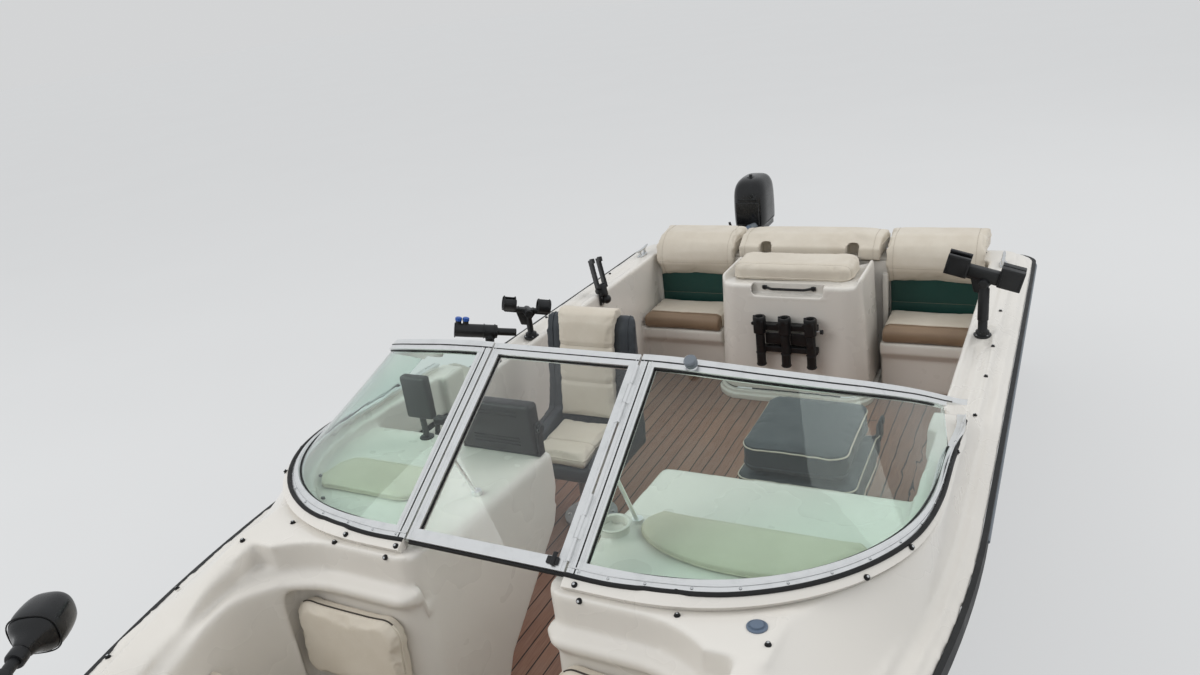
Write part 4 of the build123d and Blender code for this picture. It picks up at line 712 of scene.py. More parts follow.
# Gelcoat: deck, liners and consoles come out of the mould as one shell with soft corners
def make_moulding():
    nodes = ("deck", "cockpit_liner", "bow_liner", "helm_console", "port_console", "jump_seat_bases")
    mesh = baked(cad_copy(*nodes), ("REMESH", {"mode": "VOXEL", "voxel_size": 8.5 * MM}),
                 ("SMOOTH", {"factor": 0.5, "iterations": 7}))
    bm = bmesh.new()
    bm.from_mesh(mesh)
    corner = []
    for vertex in bm.verts:
        x, y, z = vertex.co
        if -1.25 < y < -0.80 and abs(x) < 0.82 and 0.60 < z < 0.92:
            near = eased(y, -1.20, -1.00) * (1 - eased(abs(x), 0.70, 0.80))
            vertex.co.z += STEP_RISE * near * eased(z, 0.60, STEP_Z) * (1 - eased(z, STEP_Z + 10 * MM, 0.868))
            if z < 0.885 and y < -0.825:
                corner.append(vertex)
        elif 0.62 < z < 0.80 and 0.45 < y < 2.25 and not 1.35 < y < 1.53:
            channel = eased(abs(x), 0.962, 0.974) * (1 - eased(abs(x), 1.006, 1.020))
            vertex.co.z -= CHANNEL_DEPTH * channel * eased(y, 0.45, 0.55) * (1 - eased(y, 2.15, 2.25))
    consoles = [v for v in bm.verts if 0.17 < abs(v.co.x) < 0.50 and -0.70 < v.co.y < 0.34 and 0.62 < v.co.z < 0.92]
    for verts, rounds in ((corner, 14), (consoles, 22)):
        for _ in range(rounds):
            bmesh.ops.smooth_vert(bm, verts=verts, factor=0.5, use_axis_x=True, use_axis_y=True, use_axis_z=True)
    bm.to_mesh(mesh)
    bm.free()
    mesh.shade_smooth()
    fine = bpy.data.objects.new("fine", mesh.copy())
    SCENE.collection.objects.link(fine)
    share = 180000 / (2 * len(mesh.polygons))
    mesh = baked(mesh, ("DECIMATE", {"ratio": min(share, 1)}), ("DATA_TRANSFER", {
        "object": fine, "use_loop_data": True, "data_types_loops": {"CUSTOM_NORMAL"},
        "loop_mapping": "POLYINTERP_NEAREST"}))
    bpy.data.objects.remove(fine)
    return shown("deck_and_liner", mesh, "boat", "gelcoat_white", nodes)


SHOULDER_RISE = 0.034       # rise of the box's shoulders beside its pad


def make_box_moulding():
    """Engine box and the stepped flange at its foot."""
    mesh = baked(cad_copy("engine_box"), ("REMESH", {"mode": "VOXEL", "voxel_size": 5 * MM}),
                 ("SMOOTH", {"factor": 0.5, "iterations": 5}), ("DECIMATE", {"ratio": 0.2}))
    for vertex in mesh.vertices:
        x, y, z = vertex.co
        shoulder = eased(abs(x), 0.338, 0.362) * eased(y, 2.010, 2.090) * eased(z, 0.600, 0.650)
        vertex.co.z += SHOULDER_RISE * shoulder * (1 - eased(z, 0.670, 0.700))
    shown("engine_box_moulding", mesh, "engine_box_lid", "gelcoat_white", ("engine_box",))
    returns = [moved(slab((28, 60, 585), 6), (side * 0.4215, 2.462, 0.300)) for side in SIDES]
    returns += [moved(slab((160, 20, 645), 5), (side * 0.3555, 2.478, 0.330)) for side in SIDES]
    shown("engine_box_side_returns", creased(joined(*returns)), "boat", "gelcoat_white")
    mesh = baked(cad_copy("engine_box_plinth"), ("REMESH", {"mode": "VOXEL", "voxel_size": 4 * MM}),
                 ("SMOOTH", {"factor": 0.5, "iterations": 4}), ("DECIMATE", {"ratio": 0.4}))
    shown("engine_box_flange", mesh, "boat", "gelcoat_white", ("engine_box_plinth",))


# Upholstery
WAITING = []
CLOTH_FRAMES = 20


def pad(name, shape, body, look, voxel, swell, seams=(), zone=None, replaces=(), rest=None, fill=0.8, rounding=5,
        inset=4 * MM, kept=0.31):
    """Foam pad from a solid: remeshed, rounded, and left for the cloth simulation. rest is the (point,
    outward normal) of the face it sits on. A seam is (point, normal, groove depth, look, radius)."""
    mesh = baked(shape, ("REMESH", {"mode": "VOXEL", "voxel_size": voxel}),
                 ("SMOOTH", {"factor": 0.5, "iterations": rounding}))
    normals = [v.normal.copy() for v in mesh.vertices]
    for vertex, normal in zip(mesh.vertices, normals):
        vertex.co -= normal * inset
    carrier = bpy.data.objects.new(name + "_foam", mesh)
    SCENE.collection.objects.link(carrier)
    WAITING.append((carrier, dict(name=name, body=body, look=look, swell=swell, seams=seams, zone=zone,
                                  replaces=replaces, rest=rest, fill=fill, kept=kept)))


def swell_pads():
    """One run of the cloth solver over all the pads, which blows them up against their skins."""
    for carrier, _ in WAITING:
        cloth = carrier.modifiers.new("cloth", "CLOTH")
        cloth.settings.quality = 4
        cloth.settings.use_pressure = True
        cloth.settings.uniform_pressure_force = 4
        cloth.settings.tension_stiffness = 18
        cloth.settings.effector_weights.gravity = 0
        cloth.point_cache.frame_end = CLOTH_FRAMES
    for step in range(1, CLOTH_FRAMES + 1):
        SCENE.frame_set(step)
    for carrier, job in WAITING:
        finish_pad(carrier, **job)
    SCENE.frame_set(1)


def finish_pad(carrier, name, body, look, swell, seams, zone, replaces, rest, fill, kept):
    swollen = bpy.data.meshes.new_from_object(carrier.evaluated_get(bpy.context.evaluated_depsgraph_get()))
    for vertex, start in zip(swollen.vertices, carrier.data.vertices):
        move = vertex.co - start.co
        if move.length > swell:
            move *= swell / move.length
        vertex.co = start.co + move
        if rest:
            below = (vertex.co - rest[0]).dot(rest[1])
            if below > 0:
                vertex.co -= rest[1] * below
    bpy.data.objects.remove(carrier)
    for seam in seams:
        if seam[2]:
            press(swollen, Vector(seam[0]), Vector(seam[1]).normalized(), seam[2])
    mesh = baked(swollen, ("SUBSURF", {"levels": 1, "render_levels": 1}), ("DECIMATE", {"ratio": kept}))
    piece = shown(name, mesh, body, look, replaces)
    if zone:
        for face in mesh.polygons:
            face.material_index = int(zone(face.center))
    for index, (point, normal, _, cord, radius, *within) in enumerate(seams):
        sew(f"{name}_seam_{index + 1}", mesh, Vector(point), Vector(normal).normalized(), cord, radius, body,
            within[0] if within else None)


def press(mesh, point, normal, depth, width=11 * MM):
    """Draws a mesh in along the line where a plane cuts it."""
    for vertex in mesh.vertices:
        away = (vertex.co - point).dot(normal)
        if abs(away) < 3 * width:
            vertex.co -= vertex.normal * depth * math.exp(-(away / width) ** 2)


def sew(name, mesh, point, normal, look, radius, body, within):
    """Welt, or stitches where the radius is zero, along the line where a plane cuts a mesh."""
    bm = bmesh.new()
    bm.from_mesh(mesh)
    cut = bmesh.ops.bisect_plane(bm, geom=[*bm.verts, *bm.edges, *bm.faces], plane_co=point, plane_no=normal)
    edges = [e for e in cut["geom_cut"] if isinstance(e, bmesh.types.BMEdge)]
    if within:
        edges = [e for e in edges if within((e.verts[0].co + e.verts[1].co) / 2)]
    bm.normal_update()
    lines = [[v.co + v.normal * max(radius * 0.35, 0.5 * MM) for v in e.verts] for e in edges]
    bm.free()
    if not lines:
        return
    path = merged_lines(lines, None)
    result = grown(path, welt_tree(look), Radius=radius) if radius else grown(path, stitch_tree(look))
    if len(result.polygons):
        shown(name, result, body, look)


def level(z):
    """A level cut at z, as the point and normal of a seam."""
    return (0, 0, z), (0, 0, 1)


def across(s):
    return (0, at(s), 0), (0, 1, 0)


def along(x):
    return (x, 0, 0), (1, 0, 0)


THREAD = ("stitch_thread", 0)
BOLSTER_FOOT = 0.600
SIDE_NAMES = ("port", "starboard")


def make_aft_upholstery():
    parts = solids_of("aft_cushions")
    low = [p for p in parts if middle_of(p).z < 0.45]
    high = [p for p in parts if middle_of(p).z > 0.45]
    roll = at(0.600 - 0.078)
    for side, shape in zip(SIDE_NAMES, low):
        pad(f"jump_cushion_{side}", shape, "boat", ("vinyl_cream", "vinyl_tan"), 10 * MM, 12 * MM,
            seams=[(*across(0.522), 5 * MM, "vinyl_tan", 3 * MM, lambda p: p.z > 0.31),
                   (*across(0.512), 0, *THREAD, lambda p: p.z > 0.37)],
            zone=lambda c: c.y < roll, replaces=("aft_cushions",), rest=(Vector((0, 0, 0.2985)), -UP), fill=0.85)
    for side, shape in zip(("port", "middle", "starboard"), high):
        middle = side == "middle"
        hang = BOLSTER_FOOT - min(v.co.z for v in shape.verts)
        for vertex in shape.verts:
            if vertex.co.y < 2.49 and not middle:
                vertex.co.z += hang * min(max((0.70 - vertex.co.z) / (0.70 - BOLSTER_FOOT + hang), 0), 1)
        edge = 0.408 if middle else 0.921
        ends = (-edge, edge) if middle else (0.412, edge) if side == "port" else (-edge, -0.412)
        seams = [(*level(0.735), 0, "vinyl_cream", 2.5 * MM, lambda p: p.y > 2.5)]
        for x in ends:
            shift = 0.05 if x == min(ends) else -0.05
            seams.append((*along(x + shift), 3 * MM, *THREAD))
        if not middle:
            seams.append((*level(BOLSTER_FOOT + 0.028), 3 * MM, *THREAD, lambda p: p.y < 2.5))
        pad(f"aft_bolster_{side}", shape, "boat", "vinyl_cream", 11 * MM, 13 * MM, seams=seams,
            replaces=("aft_cushions",), fill=0.9, rounding=7)
    for side, shape in zip(SIDE_NAMES, solids_of("aft_panels")):
        foot = min(v.co.z for v in shape.verts)
        stretch = (BOLSTER_FOOT + 4 * MM - foot) / (max(v.co.z for v in shape.verts) - foot)
        for vertex in shape.verts:
            vertex.co.z = foot + (vertex.co.z - foot) * stretch
        pad(f"aft_panel_{side}", shape, "boat", "vinyl_green", 5.5 * MM, 5 * MM, inset=1.5 * MM, rounding=2,
            seams=[(*level(0.42), 1.5 * MM, *THREAD, lambda p: p.y < 2.49)],
            replaces=("aft_panels",), rest=(Vector((0, 2.4975, 0)), AFT), fill=0.5)
    box_pad = solids_of("engine_box_pad")[0]
    pad("engine_box_pad_cover", box_pad, "engine_box_lid", "vinyl_cream", 8 * MM, 14 * MM,
        seams=[(*across(0.628), 7 * MM, *THREAD, lambda p: p.z > 0.67),
               (*level(0.672), 0, "vinyl_cream", 3 * MM)],
        replaces=("engine_box_pad",), rest=(Vector((0, 0, 0.6555)), -UP), fill=0.9)


SEAT_S = 2.060      # station of both seats' pedestals
HELM_X = -0.560     # x of the helm: seat, pedestal and wheel
GUEST_X = 0.450     # x of the passenger seat


def make_bow_upholstery():
    lean = math.atan2(0.060, 0.690)
    for shape in solids_of("bow_cushions"):
        middle = middle_of(shape)
        size = max(abs(v.co.x - middle.x) for v in shape.verts)
        side = "port" if middle.x > 0 else "starboard"
        if size > 0.45:
            pad("bow_bench", shape, "boat", "vinyl_cream", 13 * MM, 12 * MM,
                seams=[(*level(0.405), 0, "vinyl_cream", 3.5 * MM), (*across(4.36), 8 * MM, *THREAD),
                       (*across(4.56), 0, *THREAD, lambda p: p.z > 0.4 and abs(p.x) < 0.25)],
                replaces=("bow_cushions",), rest=(Vector((0, 0, 0.3505)), -UP), fill=0.85)
        elif middle.y > at(3.9):
            foot = min(v.co.z for v in shape.verts)
            for vertex in shape.verts:
                vertex.co.z += 0.4 * STEP_RISE + 0.6 * STEP_RISE * (vertex.co.z - foot) / 0.234
            middle = middle_of(shape)
            facing = Vector((0, -math.cos(lean), math.sin(lean)))
            rest = middle - facing * 0.0228
            pad(f"bow_backrest_{side}", shape, "boat", "vinyl_cream", 7 * MM, 14 * MM,
                seams=[(middle + facing * 0.008, facing, 0, "vinyl_cream", 3 * MM, lambda p: p.z < 0.715),
                       (middle + facing * 0.008, facing, 0, "dark_piping", 2.4 * MM, lambda p: p.z > 0.715)],
                replaces=("bow_cushions",), rest=(rest, -facing), fill=0.9, rounding=4)
        else:
            pad(f"bow_side_pad_{side}", shape, "boat", "vinyl_cream", 7 * MM, 11 * MM,
                seams=[(*level(0.628), 0, "vinyl_cream", 2.5 * MM), (*along(middle.x), 0, *THREAD, lambda p: p.z < 0)],
                replaces=("bow_cushions",), fill=0.85, rounding=4)
    for side, shape in zip(SIDE_NAMES, solids_of("dash_pads")):
        middle = middle_of(shape)
        pad(f"dash_pad_{side}", shape, "boat", "dash_vinyl", 6 * MM, 5 * MM, inset=2 * MM, rounding=3,
            replaces=("dash_pads",), fill=0.5, seams=[(*level(middle.z), 0, "dash_vinyl", 2 * MM)])


# Centre panel of the helm seat's back, up its front and over its top: s and z
HELM_BACK = ((1.965, 0.446), (1.945, 0.600), (1.908, 0.800), (1.887, 0.880), (1.866, 0.920), (1.836, 0.934),
             (1.800, 0.926), (1.784, 0.898), (1.800, 0.880), (1.836, 0.890), (1.862, 0.860), (1.872, 0.820),
             (1.905, 0.600), (1.935, 0.450))


def make_seats():
    shell = solids_of("helm_seat_shell")[0]
    pad("helm_seat_bucket", shell, "helm_seat", "vinyl_charcoal", 11 * MM, 9 * MM, replaces=("helm_seat_shell",),
        seams=[(*along(HELM_X + 0.186), 3 * MM, "vinyl_charcoal", 2.5 * MM),
               (*along(HELM_X - 0.186), 3 * MM, "vinyl_charcoal", 2.5 * MM)], fill=0.9, rounding=7)
    seat = min(solids_of("helm_seat_cushion"), key=lambda b: middle_of(b).z)
    pad("helm_seat_squab", seat, "helm_seat", "vinyl_cream", 7 * MM, 12 * MM, replaces=("helm_seat_cushion",),
        seams=[(*level(0.415), 0, "vinyl_cream", 2.5 * MM),
               (*across(SEAT_S + 0.09), 6 * MM, *THREAD, lambda p: p.z > 0.42)], fill=0.85)
    back = moved(plate(HELM_BACK, 0.284, 0), (HELM_X - 0.142, TRANSOM_Y, 0), SECTION)
    pad("helm_seat_centre", back, "helm_seat", "vinyl_cream", 7 * MM, 9 * MM, replaces=("helm_seat_cushion",),
        seams=[(*level(z), 4 * MM, *THREAD) for z in (0.62, 0.78)], fill=0.85, inset=2 * MM, rounding=3)
    guest = solids_of("passenger_seat")[0]
    pad("passenger_squab", guest, "passenger_seat_base", "vinyl_charcoal", 9 * MM, 8 * MM,
        replaces=("passenger_seat",), inset=3 * MM,
        seams=[(*level(z), 0, "vinyl_cream", 3 * MM) for z in (0.452, 0.352)], fill=0.9)
    fold = solids_of("passenger_backrest")[0]
    pad("passenger_back_pad", fold, "passenger_seat_back", "vinyl_charcoal", 8 * MM, 9 * MM,
        replaces=("passenger_backrest",), inset=4 * MM,
        seams=[(*level(0.585), 0, "vinyl_cream", 3 * MM),
               (*level(0.512), 0, "vinyl_charcoal", 3 * MM, lambda p: p.y < 0.95)], fill=0.9)


# Windshield: base x, base s, top x, top s, top z of each row from the post to the aft tip
WINDSHIELD = (
    (0.250, 3.520, 0.250, 2.960, 1.250),
    (0.410, 3.520, 0.400, 2.955, 1.245),
    (0.640, 3.474, 0.580, 2.925, 1.220),
    (0.834, 3.344, 0.720, 2.855, 1.178),
    (0.964, 3.150, 0.820, 2.740, 1.115),
    (1.010, 2.920, 0.900, 2.585, 1.030),
    (1.010, 2.640, 0.965, 2.445, 0.950),
    (1.010, 2.360, 1.012, 2.305, 0.884),
)
FRAME_DEPTH = 0.026
RAIL_BOTTOM = 0.034
RAIL_TOP = 0.040
BEADS = (16.5 * MM, 9.5 * MM)   # outer and inner bead round the glass, out from its foot line
POST_X = 0.250                  # inner edge of the port post
WINDOW_HALF = 0.244             # half the width of the centre window


def smooth_row(t):
    """The windshield's row at a fractional place, through the rows on either side."""
    i = min(int(t), len(WINDSHIELD) - 2)
    rows = [WINDSHIELD[min(max(i + k, 0), len(WINDSHIELD) - 1)] for k in (-1, 0, 1, 2)]
    u = t - i
    return [0.5 * (2 * b + (c - a) * u + (2 * a - 5 * b + 4 * c - d) * u * u + (3 * b - 3 * c + d - a) * u ** 3)
            for a, b, c, d in zip(*rows)]


def windshield_point(t, up, out):
    """Point of the port windshield at row t, up the glass from its foot or down from its top, and outwards."""
    def ends(t):
        x, s, top_x, top_s, z = smooth_row(min(max(t, 0), len(WINDSHIELD) - 1))
        return Vector((x, at(s), windshield_base(s))), Vector((top_x, at(top_s), z))

    low, high = ends(t)
    before, after = ends(t - 0.05), ends(t + 0.05)
    rise = (high - low).normalized()
    run = (after[0] + after[1] - before[0] - before[1]).normalized()
    outward = run.cross(rise).normalized()
    height = (high - low).length
    return low + rise * (up if up >= 0 else height + up) + outward * out, outward, rise


def windshield_line(up, out, first=0.0, last=7.0, steps=80):
    return [windshield_point(first + (last - first) * i / steps, up, out)[0] for i in range(steps + 1)]


def flipped(lines):
    return [[Vector((-p.x, p.y, p.z)) for p in line] for line in lines]


def trim(name, lines, radius, look, body="boat", sides=2):
    lines = lines + flipped(lines) if sides == 2 else lines
    return shown(name, grown(line_mesh(lines), welt_tree(look), Radius=radius), body, look)


def snapped(lines, surface, lift, reach=9 * MM):
    """Lines moved onto a surface that they run close to."""
    done = []
    for line in lines:
        moved_line = []
        for p in line:
            point, normal, _, gap = surface.find_nearest(p)
            moved_line.append(point + normal * lift if gap < reach else p)
        done.append(moved_line)
    return done


def make_windshield_trim():
    bm = cad_copy("windshield_frame")
    surface = BVHTree.FromBMesh(bm)
    bm.free()
    bm = cad_copy("windshield_gasket")
    wedge = BVHTree.FromBMesh(bm)
    shown("windshield_wedge", creased(bm), "boat", "gelcoat_white", ("windshield_gasket",))
    bulb = []
    for i in range(81):
        foot, _, rise = windshield_point(7 * i / 80, 0, FRAME_DEPTH + 3 * MM)
        bulb.append(foot - rise * 5 * MM)
    trim("windshield_seal", snapped([bulb], wedge, 0), 6.5 * MM, "gasket_rubber")
    groove = snapped([windshield_line(-21 * MM, FRAME_DEPTH, 0, 6.2)], surface, 0)
    trim("top_rail_insert", groove, 2.2 * MM, "gasket_rubber")
    lip = snapped([windshield_line(RAIL_BOTTOM / 2, FRAME_DEPTH, 0, 7)], surface, 0)
    trim("bottom_rail_bead", lip, 2.5 * MM, "window_frame_metal")
    low, outward, rise = windshield_point(0, 0, 0)
    height = (windshield_point(0, -0.0001, 0)[0] - low).length

    def spot(x, out, up):
        """Point in front of the port post or the centre window, out from their plane and up from their foot."""
        return low + PORT * (x - POST_X) + outward * out + rise * up

    def both_ends(inset):
        """x of the two places set in from the ends of the centre window."""
        return inset - WINDOW_HALF, WINDOW_HALF - inset

    edges = []
    for depth in BEADS:
        edges += [windshield_line(RAIL_BOTTOM, depth, 0.2, 6), windshield_line(-RAIL_TOP, depth, 0.2, 5.6)]
    edges += [[spot(POST_X + 44 * MM, depth, h) for h in (RAIL_BOTTOM, height - RAIL_TOP)] for depth in BEADS]
    trim("glass_beading", edges, 3.2 * MM, "gasket_rubber")
    ribs = [[spot(POST_X + x, FRAME_DEPTH - 0.6 * MM, h) for h in (1 * MM, height - 2 * MM)]
            for x in (10 * MM, 34 * MM)]
    trim("post_ribs", ribs, 2.6 * MM, "window_frame_metal")
    groove = [[spot(POST_X + 22 * MM, FRAME_DEPTH - 1.2 * MM, h) for h in (1 * MM, height)]]
    trim("post_groove", groove, 2.4 * MM, "gasket_rubber")
    screws = []
    for i in range(15):
        point = windshield_point(0.3 + i * 6.4 / 14, 10 * MM, FRAME_DEPTH)[0]
        screws.append(surface.find_nearest(point)[:2])
    screws += [(Vector((-p.x, p.y, p.z)), Vector((-n.x, n.y, n.z))) for p, n in screws]
    scattered("frame_screws", screws, screw_head(4.2), "boat", "stainless")
    sides, ends = both_ends(26 * MM), (RAIL_BOTTOM + 2 * MM, height - RAIL_TOP - 2 * MM)
    edges = [[spot(x, depth, h) for h in ends] for x in sides for depth in BEADS]
    edges += [[spot(x, depth, h) for x in sides] for h in ends for depth in BEADS]
    sweep = [[spot(x, 12 * MM, -1 * MM) for x in both_ends(4 * MM)]]
    insert = [[spot(x, FRAME_DEPTH - 0.8 * MM, height - 22 * MM) for x in both_ends(2 * MM)]]
    ribs = [[spot(x, FRAME_DEPTH - 0.6 * MM, h) for h in (4 * MM, height - 4 * MM)] for x in both_ends(9 * MM)]
    for name, lines, radius, look in (("beading", edges, 3, "gasket_rubber"), ("sweep", sweep, 6, "gasket_rubber"),
                                      ("insert", insert, 2.2, "gasket_rubber"),
                                      ("ribs", ribs, 2.2, "window_frame_metal")):
        trim("centre_window_" + name, lines, radius * MM, look, "centre_window", sides=1)
    corner = Matrix.Translation(low) @ Matrix((PORT, rise, outward)).transposed().to_4x4()
    latch = joined(moved(slab((34, 20, 6), 2.5), corner,
                         (-45 * MM, 24 * MM, FRAME_DEPTH + 3 * MM)),
                   moved(slab((12, 36, 7), 3), corner,
                         (-42 * MM, 28 * MM, FRAME_DEPTH + 6 * MM)))
    shown("window_latch", latch, "centre_window", "black_plastic")
    bumper = lathe([(0, 0), (17.5, 0), (18.5, 4), (18.5, 19), (15, 23.5),
                    (0, 24)])
    moved(bumper, corner, (0.15, height - RAIL_TOP / 2, FRAME_DEPTH))
    shown("rail_bumper", creased(bumper), "boat", "grey_plastic")


def screw_head(radius):
    """Pan head of a radius in millimetres, standing on z = 0."""
    return lathe([(0, -1), (radius, -1), (radius, radius * 0.25), (radius * 0.75, radius * 0.55),
                  (0, radius * 0.68)], 10)


def snap_stud():
    """Canvas snap: a washer with a domed, hollow-lipped stud."""
    return lathe([(0, -1), (8, -1), (8, 1.2), (5.6, 1.8), (5.2, 4.4),
                  (6, 5.6), (4.6, 7.2), (2, 7.6), (0, 6.4)], 14)


# Canvas snaps on the deck: x and s
SNAPS = (
    (-0.856, 3.232), (-0.738, 3.345), (-0.440, 3.555), (-0.474, 3.571), (-0.262, 3.557), (-0.288, 3.578),
    (-0.676, 3.527), (-0.752, 3.648), (-0.974, 3.746), (-0.885, 4.035), (0.286, 3.557), (0.306, 3.578),
    (0.536, 3.520), (0.552, 3.560), (0.743, 3.432), (0.924, 3.303), (0.999, 3.152), (1.027, 2.899),
    (1.041, 2.607), (1.041, 2.078), (1.045, 1.734), (1.044, 1.427), (1.040, 1.010), (0.774, 3.589),
    (-0.924, 3.303), (-0.999, 3.152), (-1.027, 2.899), (-1.041, 2.607), (-1.041, 2.078), (-1.045, 1.427),
    (-1.040, 0.700), (1.040, 0.700), (0.885, 4.035), (0.760, 4.420), (-0.760, 4.420), (0.560, 4.830),
    (-0.560, 4.830), (0.250, 5.080), (-0.250, 5.080), (0.900, 0.130), (-0.900, 0.130), (0.450, 0.010),
)


def make_deck_hardware(*surfaces):
    def drop(x, s):
        """Highest point of the surfaces at a place, and the normal there."""
        hits = [surface.ray_cast(Vector((x, at(s), 1.3)), -UP) for surface in surfaces]
        return max((hit[:2] for hit in hits if hit[0]), key=lambda hit: hit[0].z, default=(None, None))

    studs = [drop(x, s) for x, s in SNAPS if drop(x, s)[0]]
    scattered("deck_snaps", studs, snap_stud(), "boat", "gasket_rubber")
    scattered("deck_snap_studs", [(p + n * 2.2 * MM, n) for p, n in studs], lathe(
        [(0, 0), (3.4, 0), (3.4, 5.4), (0, 6)], 10), "boat", "stainless")
    place, normal = drop(0.734, 3.539)
    filler = lathe([(0, -2), (24, -2), (24, 3), (20, 5), (19, 4),
                    (16, 4), (15, 8), (11, 9), (0, 9)])
    shown("deck_filler_cap", creased(moved(filler, standing(place, normal))), "boat", "cap_plastic")
    for index, (x, s) in enumerate(((1.000, 0.330), (0.560, 4.650))):
        z = sheer(s) + 0.040
        cleat = both(moved(horn_cleat(), (x, at(s), z)))
        shown(f"cleats_{index + 1}", creased(cleat), "boat", "stainless")
    for name, shape, look in bow_light():
        shown(name, creased(shape), "boat", look)
    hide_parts("deck_fittings")
    eye = lathe_ring(21, 9)
    stern = both(joined(moved(eye.copy(), (0.760, 2.792, 0.060), turned(90, "Y")),
                        moved(slab((60, 6, 80), 2.5), (0.760, 2.7635, 0.060))))
    shown("stern_eyes", creased(stern), "boat", "stainless")
    bow = moved(eye, (0, at(5.334), 0.398), turned(90, "Y"))
    shown("bow_eye", creased(bow), "boat", "stainless")


def lathe_ring(radius, thickness, steps=36, sides=12):
    """Ring of round bar round Z, its sizes in millimetres."""
    bm = bmesh.new()
    rings = []
    for i in range(steps):
        a = 2 * math.pi * i / steps
        rings.append([])
        for j in range(sides):
            b = 2 * math.pi * j / sides
            reach = (radius + thickness * math.cos(b)) * MM
            rings[i].append(bm.verts.new((reach * math.cos(a), reach * math.sin(a), thickness * MM * math.sin(b))))
    closed_round(bm, rings + rings[:1])
    bmesh.ops.recalc_face_normals(bm, faces=bm.faces)
    return bm


def horn_cleat():
    """Cast horn cleat on two legs and an oval foot, along Y."""
    horns = []
    for y, half, rise in ((-84, 4, 8), (-70, 7, 6), (-40, 9, 1), (0, 9, 0), (40, 9, 1), (70, 7, 6), (84, 4, 8)):
        section = [Vector((p.x, 0, p.y)) for p in oval((0, 0, 0), half * MM, half * 0.75 * MM, 2.2, 16)]
        horns.append([p + Vector((0, y * MM, (34 + rise) * MM)) for p in section])
    legs = [moved(lathe([(14, 0), (9, 6), (8, 22), (10, 34), (0, 36)], 20),
                  (0, y * MM, 2 * MM)) for y in (-32, 32)]
    foot = skinned([oval((0, 0, 0), 19 * MM, 54 * MM, 2.4), oval((0, 0, 3.5 * MM), 19 * MM, 54 * MM, 2.4),
                    oval((0, 0, 6 * MM), 16 * MM, 51 * MM, 2.4)])
    return joined(skinned(horns), *legs, foot)


def bow_light():
    """Two-colour bow light in a low housing."""
    place = Vector((0, at(5.330), sheer(5.330) + 0.038))

    def layered(*layers):
        """Shape through level ovals, each as its x, y and z and half sizes in millimetres, and its power."""
        return moved(skinned([oval(Vector(layer[:3]) * MM, layer[3] * MM, layer[4] * MM, layer[5])
                              for layer in layers]), place)

    base = layered((0, 0, 0, 35, 55, 3), (0, 0, 14, 34, 54, 3), (0, 3, 18, 31, 48, 3))
    top = layered((0, 4, 42, 32, 46, 3), (0, 6, 50, 28, 40, 3), (0, 8, 53, 18, 28, 3))
    starboard, port = (layered((side * 14, 2, 18, 15, 42, 2.4), (side * 14, 3, 42, 15, 41, 2.4)) for side in SIDES)
    return (("bow_light_base", base, "black_plastic"), ("bow_light_cap", top, "stainless"),
            ("bow_light_port_lens", port, "red_lens"), ("bow_light_starboard_lens", starboard, "green_lens"))


def make_rub_rail_insert():
    """Pale bead in the middle of the rub rail."""
    bm = cad_copy("rub_rail")
    outer = [line for line in sharp_edges(bm, lambda m, a, b: max(a.z, b.z) > 0.8 and
                                          min(a.x * m.x + a.y * m.y, b.x * m.x + b.y * m.y) >= -1e-4
                                          and max(Vector(a).xy.dot(m.xy), Vector(b).xy.dot(m.xy)) > 0.02)]
    bm.free()
    path = merged_lines([[p - UP * 23 * MM for p in line] for line in outer], 40 * MM)
    shown("rub_rail_bead", grown(path, welt_tree("grey_plastic"), Radius=6 * MM), "boat", "grey_plastic")


# Castings and mouldings that keep their CAD form and get rounded edges:
# piece, node, body, finish, voxel in mm, smoothing steps, share of faces kept
CAST = (
    ("rod_holder_set", "rod_holders", "boat", "black_plastic", 2.6, 3, 0.18),
    ("rod_rack_frame", "rod_rack", "engine_box_lid", "rack_plastic", 2.4, 2, 0.19),
    ("kicker_bracket_casting", "kicker_bracket", "boat", "bracket_metal", 4, 3, 0.22),
    ("kicker_swivel_casting", "kicker_swivel", "kicker_swivel_bracket", "motor_paint", 2.5, 3, 0.3),
    ("kicker_midsection", "kicker_leg", "kicker_motor", "motor_paint", 3.6, 4, 0.2),
    ("transom_shield", "drive_transom_plate", "boat", "drive_paint", 4, 4, 0.22),
    ("gimbal_ring", "drive_gimbal", "drive_ring", "drive_paint", 3, 3, 0.4),
    ("sterndrive_casting", "drive_leg", "drive", "drive_paint", 5, 6, 0.24),
    ("trolling_brackets", "trolling_mount", "boat", "black_plastic", 4, 3, 0.35),
    ("throttle_box", "throttle", "boat", "black_plastic", 3, 3, 0.4),
)


def make_castings():
    for name, node, body, look, voxel, steps, kept in CAST:
        mesh = baked(cad_copy(node), ("REMESH", {"mode": "VOXEL", "voxel_size": voxel * MM}),
                     ("SMOOTH", {"factor": 0.5, "iterations": steps}), ("DECIMATE", {"ratio": kept}))
        shown(name, mesh, body, look, (node,))


TOOTH_DEPTH = 2     # of a knob's rim, in mm

# Plain CAD nodes that are right as they are
KEPT = ("hull", "rub_rail", "cockpit_sole", "engine_block", "engine_box_handle", "windshield_frame",
        "windshield_glass", "centre_window_frame", "centre_window_glass", "seat_pedestals")


